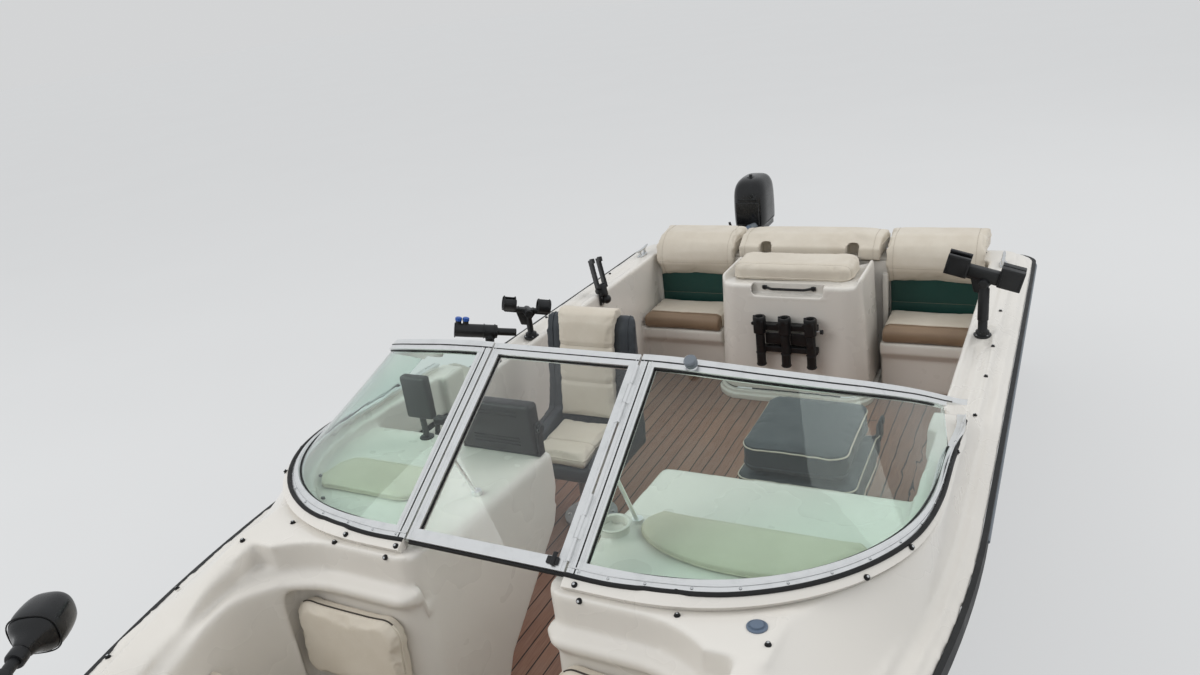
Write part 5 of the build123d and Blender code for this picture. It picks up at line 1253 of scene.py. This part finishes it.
def tooth_ring(radius, height, teeth=24):
    """Knob rim with a tooth for every few degrees, round Z, its sizes in millimetres."""
    bm = bmesh.new()
    rings = []
    for r, z in ((0, 0), (radius * 0.8, 0), (radius, 1.5), (radius, height - 2), (radius * 0.8, height), (0, height)):
        ring = []
        for i in range(2 * teeth if r else 1):
            reach = (r - (TOOTH_DEPTH if i % 2 and r == radius else 0)) * MM
            a = math.pi * i / teeth
            ring.append(bm.verts.new((reach * math.cos(a), reach * math.sin(a), z * MM)))
        rings.append(ring)
    closed_round(bm, rings)
    bmesh.ops.recalc_face_normals(bm, faces=bm.faces)
    return bm


# Rod holders, as in the CAD: form, x, s, height above the deck, turn in plan, downward lean
ROD_HOLDERS = (
    ("tube", -0.993, 2.000, 0.160, 36, 13),
    ("cradle", -0.993, 1.665, 0.168, 38, 16),
    ("fork", -0.934, 1.027, 0.104, 150, -75),
    ("square", 0.992, 1.290, 0.290, 0, 15),
)
CHANNEL_FLOOR = 0.024       # height of the gunwale channel above the sheer


def make_rod_holder_details():
    knobs, screws, straps = [], [], []
    for form, x, s, height, turn, lean in ROD_HOLDERS:
        base = Vector((x, at(s), sheer(s) + CHANNEL_FLOOR))
        head = Matrix.Translation(base + UP * height) @ turned(turn, "Z") @ turned(lean, "Y")
        if form == "tube":
            blue = [moved(tooth_ring(15, 16, 10), head, (dx * MM, 0, 44 * MM)) for dx in (-134, -102)]
            shown("rod_holder_clamp_knobs", creased(joined(*blue)), "boat", "blue_plastic")
            for dx in (-148, -20, 28):
                straps.append(moved(lathe_ring(31, 2.6), head, (dx * MM, 0, 0), turned(90, "Y")))
        if form in ("cradle", "square"):
            half = 42 if form == "square" else 34
            for dx in ((-105, 105) if form == "square" else (-83, 83)):
                for edge in (-38, 38) if form == "square" else (-26, 26):
                    if form == "cradle":
                        ring = bent_strap(half * MM + 1 * MM, 40, 320)
                        straps.append(moved(ring, head, ((dx + edge) * MM, 0, 0), turned(90, "Y")))
                    else:
                        for side in SIDES:
                            rib = slab((5, 4, 60), 1.5, 2)
                            straps.append(moved(rib, head, ((dx + edge) * MM, side * 42.5 * MM, -4 * MM)))
            for dx in (-36, 0, 36):
                straps.append(moved(slab((6, 40, 8), 2, 2), head,
                                    (dx * MM, 0, (8 - half + 9) * MM)))
        if form in ("cradle", "square"):
            web = plate([(-54 * MM, 0), (54 * MM, 0), (14 * MM, -74 * MM), (-14 * MM, -74 * MM)], 20 * MM, 4 * MM)
            straps.append(moved(web, head, (0, 10 * MM, -24 * MM), turned(90, "X")))
        if form == "square":
            straps.append(moved(slab((150, 50, 46), 9), head, (0, 0, -14 * MM)))
            top = height / MM
            post = lathe([(27, 0), (25, 12), (19, 22), (19, 60), (22, 64),
                          (22, top - 90), (18, top - 84), (18, top - 60),
                          (0, top - 60)])
            straps.append(moved(post, base + UP * 12 * MM))
        if form != "fork":
            seat = 44 if form == "square" else 30
            pivot = base + UP * (height - seat / 1000 - 0.004)
            for side in SIDES:
                knobs.append(moved(tooth_ring(19, 12, 14), pivot, turned(turn, "Z"),
                                   turned(90 * side, "X"), (0, 0, 29 * MM)))
            knobs.append(moved(tooth_ring(27, 14, 18), base + UP * 0.014))
            for k in range(4):
                a = math.radians(45 + 90 * k)
                screws.append((base + Vector((29 * MM * math.cos(a), 29 * MM * math.sin(a), 12 * MM)), UP))
        else:
            for side in SIDES:
                for dz in (-16, 16):
                    place = Vector((x + 0.004, at(s) + side * 28 * MM, sheer(s) + 0.006 + dz * MM))
                    screws.append((place + PORT * 0.013, PORT))
            knobs.append(moved(tooth_ring(16, 14, 12), head, (-0.070, 0.024, 0), turned(-90, "X")))
    shown("rod_holder_knobs", creased(joined(*knobs)), "boat", "black_plastic")
    shown("rod_holder_ribs", creased(joined(*straps)), "boat", "rack_plastic")
    scattered("rod_holder_screws", screws, screw_head(3.6), "boat", "stainless")


def bent_strap(radius, first, last, thickness=2.4 * MM, steps=26):
    """Round bar bent in an arc round Z, from one angle to another in degrees."""
    points = [Vector((radius * math.cos(math.radians(a)), radius * math.sin(math.radians(a)), 0))
              for a in (first + (last - first) * i / steps for i in range(steps + 1))]
    return bar(points, thickness, 8)


def make_rack_details():
    front = 0.801
    rings, screws = [], []
    for step in (-1, 0, 1):
        x = step * 0.135
        for z in (0.494, 0.455, 0.300, 0.232):
            rings.append(moved(lathe_ring(24.5, 2.8), (x, at(front), z)))
        rings.append(moved(tooth_ring(10, 12, 10), (x - 0.030, at(front + 0.012), 0.470),
                           turned(90, "X")))
        rings.append(moved(slab((12, 8, 46), 2.5), (x - 0.028, at(front), 0.486)))
        rings.append(moved(slab((34, 6, 60), 2), (x, at(front + 0.022), 0.378)))
        cup = lathe([(20, 96), (20, 2), (25, 0), (31, 8), (32, 60),
                     (34, 64), (34, 92), (31, 97), (20, 96)], 32)
        rings.append(moved(cup, (x, at(front), 0.408)))
        rings.append(moved(slab((50, 12, 70), 4), (x, at(front + 0.026), 0.452)))
        if step < 1:
            rings.append(moved(slab((86, 7, 62), 2.5), (x + 0.0675, at(front - 0.014), 0.378)))
        for z in (0.440, 0.315):
            for dx in (-38, 38):
                screws.append((Vector((x + dx * MM, at(0.795) + 0.014, z)), -AFT))
    screws = [(p, n) for p, n in screws if abs(p.x) < 0.16]
    shown("rack_clamps", creased(joined(*rings)), "engine_box_lid", "rack_plastic")
    scattered("rack_screws", screws, screw_head(4), "engine_box_lid", "stainless")
    stud = moved(lathe([(0, 0), (4, 0), (4, 30), (0, 30)], 12), (0.158, at(front), 0.435),
                 turned(90, "Y"))
    shown("rack_knob_stud", creased(stud), "engine_box_lid", "stainless")
    knob = moved(tooth_ring(13, 16, 8), (0.184, at(front), 0.435), turned(90, "Y"))
    shown("rack_knob", creased(knob), "engine_box_lid", "rack_plastic")
    hinges, pins = [], []
    for x in (-0.250, 0.250):
        for side in SIDES:
            leaf = plate([(0.254, 0.606), (0.254, 0.640), (0.340, 0.702), (0.364, 0.702), (0.364, 0.676),
                          (0.290, 0.602)], 6 * MM, 1.2 * MM)
            hinges.append(moved(leaf, (x + side * 0.024 - 0.003, TRANSOM_Y, 0), SECTION))
        pins.append(moved(lathe([(0, -31), (10, -31), (10, -28), (6.8, -27.5),
                                 (6.8, 27.5), (10, 28), (10, 31), (0, 31)], 18),
                          (x, at(0.352), 0.690), turned(90, "Y")))
    shown("lid_hinge_leaves", creased(joined(*hinges)), "boat", "stainless")
    shown("lid_hinge_pins", creased(joined(*pins)), "engine_box_lid", "stainless")
    bosses = [moved(lathe([(13, 0), (13, 5), (9, 9), (0, 10)], 18),
                    (side * 0.130, at(0.694), 0.629), turned(90, "X")) for side in SIDES]
    shown("box_handle_bosses", creased(joined(*bosses)), "engine_box_lid", "black_plastic")


# Motors
def screw_propeller(radius, hub, length, blades):
    """Propeller round Y: a hub with a cone and twisted blades that sweep back."""
    parts = [lathe([(r * hub / MM, z * length / MM) for r, z in (
        (0, -0.62), (0.55, -0.52), (1, -0.36), (1, 0.38), (1.12, 0.5), (0.9, 0.5), (0, 0.40))], 32)]
    across_steps, out_steps = 8, 9
    for index in range(blades):
        faces = []
        for side in (1, -1):
            grid = []
            for i in range(out_steps + 1):
                u = i / out_steps
                reach = hub * 0.9 + (radius - hub * 0.9) * u
                chord = radius * (0.50 + 0.62 * u - 0.86 * u ** 3.2) * 1.15
                pitch = math.radians(62 - 36 * u)
                row = []
                for j in range(across_steps + 1):
                    w = j / across_steps - 0.5
                    sweep = 0.16 * radius * u * u
                    x = (w * chord + sweep) * math.cos(math.pi / 2 - pitch + math.radians(20))
                    y = (w * chord) * math.sin(math.pi / 2 - pitch + math.radians(20)) * 0.8
                    thick = 0.045 * radius * (1 - 0.75 * u) * math.sqrt(max(1 - (2 * w) ** 2, 0))
                    angle = x / max(reach, 1e-6)
                    row.append(Vector((reach * math.sin(angle), y + side * thick / 2, reach * math.cos(angle))))
                grid.append(row)
            faces.append(grid)
        bm = bmesh.new()
        made = [[[bm.verts.new(p) for p in row] for row in grid] for grid in faces]
        for grid in made:
            for i in range(out_steps):
                for j in range(across_steps):
                    bm.faces.new((grid[i][j], grid[i + 1][j], grid[i + 1][j + 1], grid[i][j + 1]))
        for j in range(across_steps):
            bm.faces.new((made[0][-1][j], made[0][-1][j + 1], made[1][-1][j + 1], made[1][-1][j]))
            bm.faces.new((made[0][0][j], made[0][0][j + 1], made[1][0][j + 1], made[1][0][j]))
        bmesh.ops.remove_doubles(bm, verts=bm.verts, dist=0.02 * MM)
        bmesh.ops.recalc_face_normals(bm, faces=bm.faces)
        parts.append(moved(bm, turned(index * 360 / blades, "Y")))
    return joined(*parts)


KICKER_X = -0.540


def make_propellers():
    spin = moved(screw_propeller(0.178, 0.050, 0.100, 3), (0, 3.3213, -0.500))
    shown("sterndrive_propeller", creased(spin, 50), "drive_screw", "propeller_metal", ("drive_propeller",))
    nut = moved(lathe([(0, 0), (22, 0), (22, 6), (14, 9), (14, 26), (0, 28)], 6),
                (0, 3.360, -0.500), turned(-90, "X"))
    shown("sterndrive_propeller_nut", creased(nut), "drive_screw", "stainless")
    middle = (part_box("kicker_propeller")[0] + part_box("kicker_propeller")[1]) / 2
    small = moved(screw_propeller(0.100, 0.024, 0.056, 3), (KICKER_X, middle.y, -0.140))
    shown("kicker_screw_blades", creased(small, 50), "kicker_screw", "propeller_metal", ("kicker_propeller",))


def make_kicker():
    x0, y0, z0 = KICKER_X, 3.216, 0.6483
    rows = ((0, 0, 98, 148), (6, 0, 103, 152), (40, 0, 106, 154), (130, 0, 108, 155), (205, 1, 107, 154),
            (244, 3, 102, 149), (272, 7, 91, 136), (292, 12, 74, 112), (302, 16, 50, 78), (305, 18, 12, 18))
    sections = [oval((x0, y0 + dy * MM, z0 + z * MM), hx * MM, hy * MM, 4.2 - z / 300, 40) for z, dy, hx, hy in rows]
    cowl = baked(skinned(sections), ("SUBSURF", {"levels": 1, "render_levels": 1}))
    shown("kicker_cowl_shell", cowl, "kicker_motor", "cowl_plastic", ("kicker_cowl",))
    front = y0 - 0.154
    panel = joined(moved(slab((150, 16, 148), 6, 4), (x0, front + 4.5 * MM, z0 + 0.096)),
                   moved(slab((128, 14, 40), 5, 4), (x0, front + 11 * MM, z0 + 0.198),
                         turned(-14, "X")))
    shown("kicker_front_panel", creased(panel), "kicker_motor", "motor_paint")
    seam = oval((x0, y0, z0 + 0.022), 103.6 * MM, 153.6 * MM, 3.4, 60)
    line = line_mesh([seam + seam[:1]])
    shown("kicker_cowl_seal", grown(line, welt_tree("gasket_rubber"), Radius=3 * MM), "kicker_motor", "gasket_rubber")
    slats = [moved(slab((4, 60, 5), 1.5, 2), (x0 + side * 102 * MM, y0 + 0.05, z0 + z * MM))
             for side in SIDES for z in (150, 162, 174, 186)]
    shown("kicker_cowl_louvres", creased(joined(*slats)), "kicker_motor", "motor_paint")
    cap_place = Vector((x0 - 0.004, y0 - 0.030, z0 + 0.286))
    cap = joined(moved(tooth_ring(27, 18, 16), cap_place),
                 moved(tooth_ring(11, 16, 8), cap_place + UP * 17 * MM),
                 moved(slab((84, 14, 7), 3), cap_place + Vector((0.004, 0, 6 * MM))))
    shown("kicker_tank_cap", creased(cap), "kicker_motor", "black_plastic")
    latch = joined(moved(slab((26, 14, 50), 5), (x0, y0 + 0.1505, z0 + 0.020)),
                   moved(slab((60, 12, 14), 5), (x0, y0 + 0.1555, z0 + 0.032)))
    shown("kicker_cowl_latch", creased(latch), "kicker_motor", "motor_paint")
    pan = z0 - 0.018
    lever = joined(moved(slab((16, 20, 14), 4), (x0 - 0.090, y0 - 0.140, pan)),
                   bar([(x0 - 0.085, y0 - 0.145, pan), (x0 - 0.105, y0 - 0.160, pan + 0.006),
                        (x0 - 0.112, y0 - 0.165, pan + 0.034), (x0 - 0.118, y0 - 0.168, pan + 0.062)], 8 * MM))
    shown("kicker_shift_lever", creased(lever), "kicker_motor", "black_plastic")
    start = joined(moved(slab((46, 16, 16), 6), (x0 + 0.052, y0 - 0.163, pan + 0.010)),
                   moved(lathe([(10, 0), (10, 10), (6, 14), (0, 14)], 16),
                         (x0 + 0.052, y0 - 0.152, pan + 0.010), turned(90, "X")))
    shown("kicker_starter_handle", creased(start), "kicker_motor", "black_plastic")
    rear, tip = Vector((x0 + 0.062, 3.132, z0 + 0.0215)), Vector((x0 - 0.012, 2.844, z0 + 0.0215))
    run = (tip - rear).normalized()
    length = (tip - rear).length
    profile = [(0, 0), (17.8, 0), (17.8, 20)]
    for i in range(15):
        z = 24 + i * (length * 500 - 20) / 14
        profile += [(18.6, z), (17.2, z + 3.2)]
    profile += [(18, length * 520), (18.2, length * 550), (0, length * 550)]
    sleeve = moved(lathe(profile, 24), standing(tip, -run))
    shown("kicker_tiller_grip", creased(sleeve, 60), "kicker_motor", "cap_plastic")
    arm = moved(lathe([(18, 0), (18, length * 440), (21, length * 450), (21, length * 470), (0, length * 470)], 24),
                standing(rear, run))
    shown("kicker_tiller_arm", creased(arm, 60), "kicker_motor", "grey_plastic")
    bolts = [(Vector((x0 + side * 0.070, 2.7805, z)), AFT) for side in SIDES for z in (0.135, 0.315)]
    scattered("kicker_bracket_bolts", bolts, hex_bolt(9), "boat", "stainless")
    clamp = [moved(lathe([(0, 0), (20, 0), (20, 5), (6, 8), (6, 46), (0, 46)], 20),
                   (x0 + side * 0.034, at(-0.272), 0.470), turned(90, "X")) for side in SIDES]
    shown("kicker_clamp_screws", creased(joined(*clamp)), "boat", "stainless")


def hex_bolt(size):
    """Hexagon head of a half width in millimetres, on a washer."""
    return joined(lathe([(0, -1), (size * 1.5, -1), (size * 1.5, 1.6), (0, 1.6)], 20),
                  lathe([(size, 1.6), (size, size * 0.75), (size * 0.8, size * 0.9), (0, size * 0.9)], 6))


def make_sterndrive_details():
    bolts = [(Vector((side * x, 2.7825, z)), AFT) for x, z in ((0.125, 0.10), (0.135, -0.04), (0.115, -0.19))
             for side in SIDES]
    scattered("transom_shield_bolts", bolts, hex_bolt(8), "boat", "stainless")
    folds = [fold for i in range(7) for fold in ((56, 8 + i * 7), (46, 11.5 + i * 7))]
    boot = moved(lathe([(0, 0), (58, 0), *folds, (52, 58), (0, 58)]), (0, 2.780, -0.035), turned(-90, "X"))
    shown("transom_bellows", creased(boot, 60), "boat", "gasket_rubber")
    top = 3.082
    lid = moved(skinned([oval((0, 0, 0), 62 * MM, 60 * MM, 2.8, 36), oval((0, 0, 12 * MM), 60 * MM, 58 * MM, 2.8, 36),
                         oval((0, -4 * MM, 19 * MM), 46 * MM, 44 * MM, 2.6, 36)]), (0, top, 0.034))
    shown("sterndrive_top_cover", creased(lid), "drive", "drive_paint")
    screws = [(Vector((56 * MM * math.cos(a), top + 54 * MM * math.sin(a), 0.045)), UP)
              for a in (math.radians(45 + 90 * k) for k in range(4))]
    scattered("sterndrive_cover_bolts", screws, hex_bolt(5.5), "drive", "stainless")
    vents = [moved(slab((3, 70, 4), 1.2, 2), (side * 33.5 * MM, 3.075, -0.400 + k * 11 * MM))
             for side in SIDES for k in range(6)]
    shown("sterndrive_water_intakes", creased(joined(*vents)), "drive", "gasket_rubber")
    anode = moved(slab((60, 70, 12), 4), (0, 3.230, -0.298))
    shown("sterndrive_anode", creased(anode), "drive", "bracket_metal")


# Trolling motor, stowed along the starboard foredeck
TROLL_HEAD = Vector((-0.760, at(4.230), 1.030))
TROLL_POD = Vector((-0.190, at(5.210), 1.010))


def make_trolling_motor():
    run = TROLL_POD - TROLL_HEAD
    length = run.length
    run.normalize()
    level_axis = run.cross(UP).normalized()
    axes = Matrix((level_axis, run.cross(level_axis), run)).transposed().to_4x4()
    place = Matrix.Translation(TROLL_HEAD) @ axes
    rows = ((-124, 18, 16), (-122, 36, 32), (-114, 48, 44), (-96, 56, 51), (-60, 60, 55), (-24, 60, 55), (-6, 54, 49),
            (6, 42, 38), (14, 28, 27), (40, 21, 21), (46, 18, 18))
    head = baked(skinned([oval((0, 0, z * MM), a * MM, b * MM, 2.7, 32) for z, a, b in rows]),
                 ("SUBSURF", {"levels": 1, "render_levels": 1}))
    shown("trolling_head", moved(joined(head), place), "boat", "motor_paint", ("trolling_motor",))
    band = oval((0, 0, -12 * MM), 58.4 * MM, 52.6 * MM, 2.7, 40)
    ring = joined(grown(line_mesh([band + band[:1]]), welt_tree("gasket_rubber"), Radius=1.8 * MM))
    shown("trolling_head_seam", moved(ring, place), "boat", "gasket_rubber")
    end = length / MM - 30
    tube = lathe([(13.6, 30), (13.6, end), (0, end)])
    shown("trolling_shaft", creased(moved(tube, place)), "boat", "rack_plastic")
    collars = [lathe([(14, z), (21, z), (22, z + 4), (22, z + 26),
                      (20, z + 30), (14, z + 30)], 28) for z in (46, 118, 560)]
    shown("trolling_collars", creased(moved(joined(*collars), place)), "boat", "black_plastic")
    pod = lathe([(0, -150), (14, -149), (28, -140), (38, -120), (41.5, -90),
                 (42, -40), (42, 60), (42.8, 62), (42.8, 66), (42, 68),
                 (41, 100), (36, 132), (32, 149), (0, 150)], 36)
    bracket = skinned([oval((0, 0, z * MM), half * MM, 15 * MM, power)
                       for z, half, power in ((26, 32, 2.4), (44, 26, 2.4), (60, 18, 2.2))])
    pod = joined(moved(pod, turned(90, "Y")), moved(bracket, Matrix.Scale(-1, 4, (0, 0, 1))))
    skeg = plate([(x * MM, y * MM) for x, y in ((-70, 40), (60, 40), (30, 88), (-10, 92))], 6 * MM, 2 * MM)
    moved(skeg, (0, 3 * MM, 0), turned(90, "X"))
    shown("trolling_pod", creased(moved(joined(pod, skeg), place, (0, 0, length))), "boat", "motor_paint")
    blades = moved(screw_propeller(0.104, 0.030, 0.060, 2), place, (0.1803, 0, length), turned(-90, "Z"))
    shown("trolling_blades", creased(blades, 50), "trolling_screw", "rack_plastic", ("trolling_propeller",))


# Helm and dash
DASH_FACE = at(2.820)   # after face of both consoles


def make_helm():
    tilt = math.radians(28)
    axis = Vector((0, math.cos(tilt), math.sin(tilt)))
    place = (Matrix.Translation((HELM_X, at(2.700), 0.690))
             @ Matrix((PORT, axis.cross(PORT), axis)).transposed().to_4x4())
    rim = bmesh.new()
    rings = []
    for i in range(96):
        a = 2 * math.pi * i / 96
        rings.append([])
        for j in range(14):
            b = 2 * math.pi * j / 14
            thick = 13 * MM + (1.4 * MM * math.cos(24 * a) if math.sin(b) < 0 else 0)
            reach = 0.172 + thick * math.cos(b)
            rings[i].append(rim.verts.new((reach * math.cos(a), reach * math.sin(a), thick * math.sin(b))))
    closed_round(rim, rings + rings[:1])
    bmesh.ops.recalc_face_normals(rim, faces=rim.faces)
    spokes = []
    for angle in (90, 210, 330):
        sections = [[Vector((reach * MM, p.x, p.y + drop * MM))
                     for p in oval((0, 0, 0), half * MM, thick * MM, 2.6, 16)]
                    for reach, half, thick, drop in ((30, 24, 6, -14), (70, 19, 5, -12), (120, 15, 4.5, -7),
                                                     (165, 17, 5, -1))]
        spokes.append(moved(skinned(sections), turned(angle, "Z")))
    hub = lathe([(12, -170), (12, -40), (34, -38), (42, -30), (44, -8),
                 (36, 0), (34, -2), (22, 2), (0, 3)], 36)
    shown("wheel_rim_and_spokes", creased(moved(joined(rim, hub, *spokes), place), 45), "wheel", "black_plastic",
          ("steering_wheel",))
    button = moved(lathe([(0, 2), (20, 2), (19, 5), (0, 6)], 28), place)
    shown("wheel_centre_cap", creased(button), "wheel", "stainless")
    face = DASH_FACE + 0.001
    dials, glasses, needles = [], [], []
    for x in (-0.275, -0.350, -0.790, -0.865):
        centre = Vector((x, face, 0.758))
        dials.append(moved(lathe([(0, -2), (34, -2), (34, 5), (31, 7),
                                  (30, 4), (0, 3.5)], 32), centre, turned(-90, "X")))
        glasses.append(moved(lathe([(0, 3.8), (29, 3.8), (29, 4.4), (0, 4.6)]), centre,
                             turned(-90, "X")))
        needles.append(moved(slab((2, 21, 1), 0.4, 1), centre + AFT * 5.2 * MM,
                             turned(-90, "X"), turned(40 + 90 * x, "Z"), (0, 9 * MM, 0)))
    shown("dash_gauges", creased(joined(*dials)), "boat", "stainless")
    shown("dash_gauge_faces", creased(joined(*glasses)), "boat", "screen_glass")
    shown("dash_gauge_needles", joined(*needles), "boat", "red_lens")
    switches = [moved(slab((14, 10, 24), 3), (x, face, 0.705), turned(8, "X"))
                for x in (-0.250, -0.275, -0.300, -0.325, -0.350, -0.375)]
    shown("dash_switches", creased(joined(*switches)), "boat", "black_plastic")
    knob = moved(lathe([(0, 0), (9, 0), (9, 22), (16, 26), (17, 40), (12, 46),
                        (0, 47)], 24), (-0.884, at(2.588), 0.728), turned(90, "Y"))
    shown("throttle_grip", creased(knob), "boat", "black_plastic")


PLOTTER_X = -0.360      # large display
SOUNDER_X = -0.690      # small display


def make_displays():
    dash = windshield_base(2.830) - 0.045
    box = moved(slab((290, 55, 178), 14, 5), (PLOTTER_X, at(2.8775), dash + 0.101))
    bezel = moved(slab((262, 6, 150), 2.5), (PLOTTER_X, at(2.849), dash + 0.101))
    ribs = [moved(slab((180, 4, 4), 1.2, 2), (PLOTTER_X, at(2.906), dash + z))
            for z in (0.045, 0.057, 0.069, 0.150, 0.162)]
    yoke = [moved(slab((6, 34, 120), 2.5), (PLOTTER_X + side * 0.150, at(2.878), dash + 0.064))
            for side in SIDES]
    yoke.append(moved(slab((306, 36, 7), 2.5), (PLOTTER_X, at(2.878), dash + 0.008)))
    yoke += [moved(tooth_ring(17, 13, 12), (PLOTTER_X + side * 0.152, at(2.878), dash + 0.101),
                   turned(90 * side, "Y")) for side in SIDES]
    arm = bar([(x, at(2.872), dash + z) for x, z in ((SOUNDER_X, -0.002), (SOUNDER_X, 0.040), (-0.692, 0.070),
                                                     (SOUNDER_X, 0.110))], 11 * MM)
    small = moved(slab((110, 35, 160), 10, 4), (SOUNDER_X, at(2.8725), dash + 0.165))
    foot = moved(tooth_ring(26, 10, 18), (SOUNDER_X, at(2.872), dash))
    shown("display_housings", creased(joined(box, bezel, *ribs, *yoke, arm, small, foot)), "boat", "black_plastic",
          ("displays",))
    screens = joined(moved(slab((205, 4, 128), 1, 2), (-0.380, at(2.8455), dash + 0.101)),
                     moved(slab((86, 4, 112), 1, 2), (SOUNDER_X, at(2.854), dash + 0.176)))
    shown("display_screens", creased(screens), "boat", "screen_glass")
    keys = [moved(slab((16, 5, 9), 2, 2), (-0.258, at(2.8455), dash + 0.050 + k * 0.017))
            for k in range(7)]
    keys += [moved(slab((14, 5, 8), 2, 2), (SOUNDER_X + k * 0.022, at(2.854), dash + 0.104))
             for k in (-1, 0, 1)]
    shown("display_keys", creased(joined(*keys)), "boat", "grey_plastic")


def make_cabin_details():
    cup_z = windshield_base(3.250) - 0.045
    cup = lathe([(0, 2), (36, 2), (36.5, 40), (42, 43), (46, 41),
                 (45, 37), (41, 34), (41, -2), (0, -2)], 40)
    shown("dash_cup_holder", creased(moved(cup, (0.242, at(3.250), cup_z)), 50), "boat", "gelcoat_white")
    door = moved(slab((420, 12, 100), 5), (0.560, DASH_FACE + 0.001, 0.752))
    shown("glovebox_door", creased(door), "boat", "gelcoat_white")
    latch = joined(moved(slab((60, 8, 16), 3), (0.560, DASH_FACE + 0.009, 0.778)),
                   moved(slab((400, 5, 8), 2), (0.560, DASH_FACE + 0.006, 0.700)))
    shown("glovebox_latch_and_hinge", creased(latch), "boat", "stainless")
    bolts, skirts = [], []
    for x, body in ((HELM_X, "helm_seat"), (GUEST_X, "passenger_seat_base")):
        foot = Vector((x, at(SEAT_S), 0.0155))
        for k in range(8):
            a = 2 * math.pi * (k + 0.5) / 8
            bolts.append((foot + Vector((0.098 * math.cos(a), 0.098 * math.sin(a), 0)), UP))
        skirts.append(moved(lathe([(39, 0), (60, 0), (58, 6), (44, 14),
                                   (39, 30)], 36), foot))
        top = moved(slab((180, 180, 8), 3), (x, foot.y, 0.291))
        lever = bar([(x, foot.y, 0.290), (x + 0.10, foot.y - 0.06, 0.288), (x + 0.17, foot.y - 0.16, 0.284)], 5 * MM)
        shown("seat_plate_" + body, creased(joined(top, lever)), body, "pedestal_metal")
    scattered("pedestal_bolts", bolts, hex_bolt(6), "boat", "stainless")
    shown("pedestal_skirts", creased(joined(*skirts)), "boat", "pedestal_metal")
    hinges = [moved(slab((8, 60, 90), 3), (GUEST_X + side * 0.228, at(1.800), 0.470))
              for side in SIDES]
    hinges += [moved(lathe([(0, 0), (17, 0), (17, 4), (12, 8), (0, 8)], 20),
                     (GUEST_X + side * 0.232, at(1.798), 0.505), turned(90 * side, "Y")) for side in SIDES]
    shown("passenger_hinges", creased(joined(*hinges)), "passenger_seat_base", "black_plastic")


# Floor, light and finish
FLOOR_HALF = 60
FLOOR_Z = -0.004


def make_stage():
    mesh = bpy.data.meshes.new("floor")
    mesh.from_pydata([(x * FLOOR_HALF, y * FLOOR_HALF, FLOOR_Z) for x, y in ((-1, -1), (1, -1), (1, 1), (-1, 1))], [],
                     [(0, 1, 2, 3)])
    floor = bpy.data.objects.new("floor", mesh)
    SCENE.collection.objects.link(floor)
    paint = Finish("floor_paint", 0.7)
    paint.stained("#D6D7D7", "#DADBDB", 0.8, 0.3, 0.7, 1.0, 2)
    rays = add(paint.tree, "ShaderNodeLightPath")
    glow = add(paint.tree, "ShaderNodeEmission", {"Color": linear("#DCDDDE")})
    seen = add(paint.tree, "ShaderNodeMath", {"operation": "ADD"}, {0: rays.outputs["Is Camera Ray"],
                                                                    1: rays.outputs["Is Glossy Ray"]})
    seen = add(paint.tree, "ShaderNodeMath", {"operation": "ADD", "use_clamp": True},
               {0: seen, 1: rays.outputs["Is Transmission Ray"]})
    share = add(paint.tree, "ShaderNodeMath", {"operation": "MULTIPLY", 1: 0.7}, {0: seen})
    mix = add(paint.tree, "ShaderNodeMixShader", links={0: share, 1: paint.shader, 2: glow})
    paint.tree.links.new(mix.outputs[0], paint.out.inputs["Surface"])
    mesh.materials.append(paint.material)
    world = bpy.data.worlds.new("studio")
    SCENE.world = world
    world.use_nodes = True
    sky = world.node_tree
    seen = add(sky, "ShaderNodeLightPath").outputs["Is Camera Ray"]
    tone = add(sky, "ShaderNodeMix", {"data_type": "RGBA", 6: (0.93, 0.95, 0.97, 1), 7: (0.883, 0.892, 0.901, 1)},
               {"Factor": seen})
    sky.links.new(tone.outputs[2], sky.nodes["Background"].inputs[0])
    sky.nodes["Background"].inputs[1].default_value = 0.74
    for place, power, size in (((-5, -4, 6), 260, 5), ((5, 5, 7), 260, 6)):
        light = bpy.data.lights.new("softbox", "AREA")
        light.energy = power
        light.size = size
        lamp = bpy.data.objects.new("softbox", light)
        lamp.location = place
        lamp.rotation_euler = (Vector((0, 0, 0.5)) - Vector(place)).to_track_quat("-Z", "Y").to_euler()
        lamp.visible_glossy = False
        SCENE.collection.objects.link(lamp)


make_camera()
for kept in KEPT:
    coat(kept)
moulding = make_moulding()
make_box_moulding()
make_aft_upholstery()
make_bow_upholstery()
make_seats()
swell_pads()
make_windshield_trim()
make_deck_hardware(tree_of(moulding.data), tree_of(bpy.data.objects["windshield_wedge"].data))
make_rub_rail_insert()
make_castings()
make_rod_holder_details()
make_rack_details()
make_propellers()
make_kicker()
make_sterndrive_details()
make_trolling_motor()
make_helm()
make_displays()
make_cabin_details()
make_stage()
SCENE.view_settings.view_transform = "Standard"
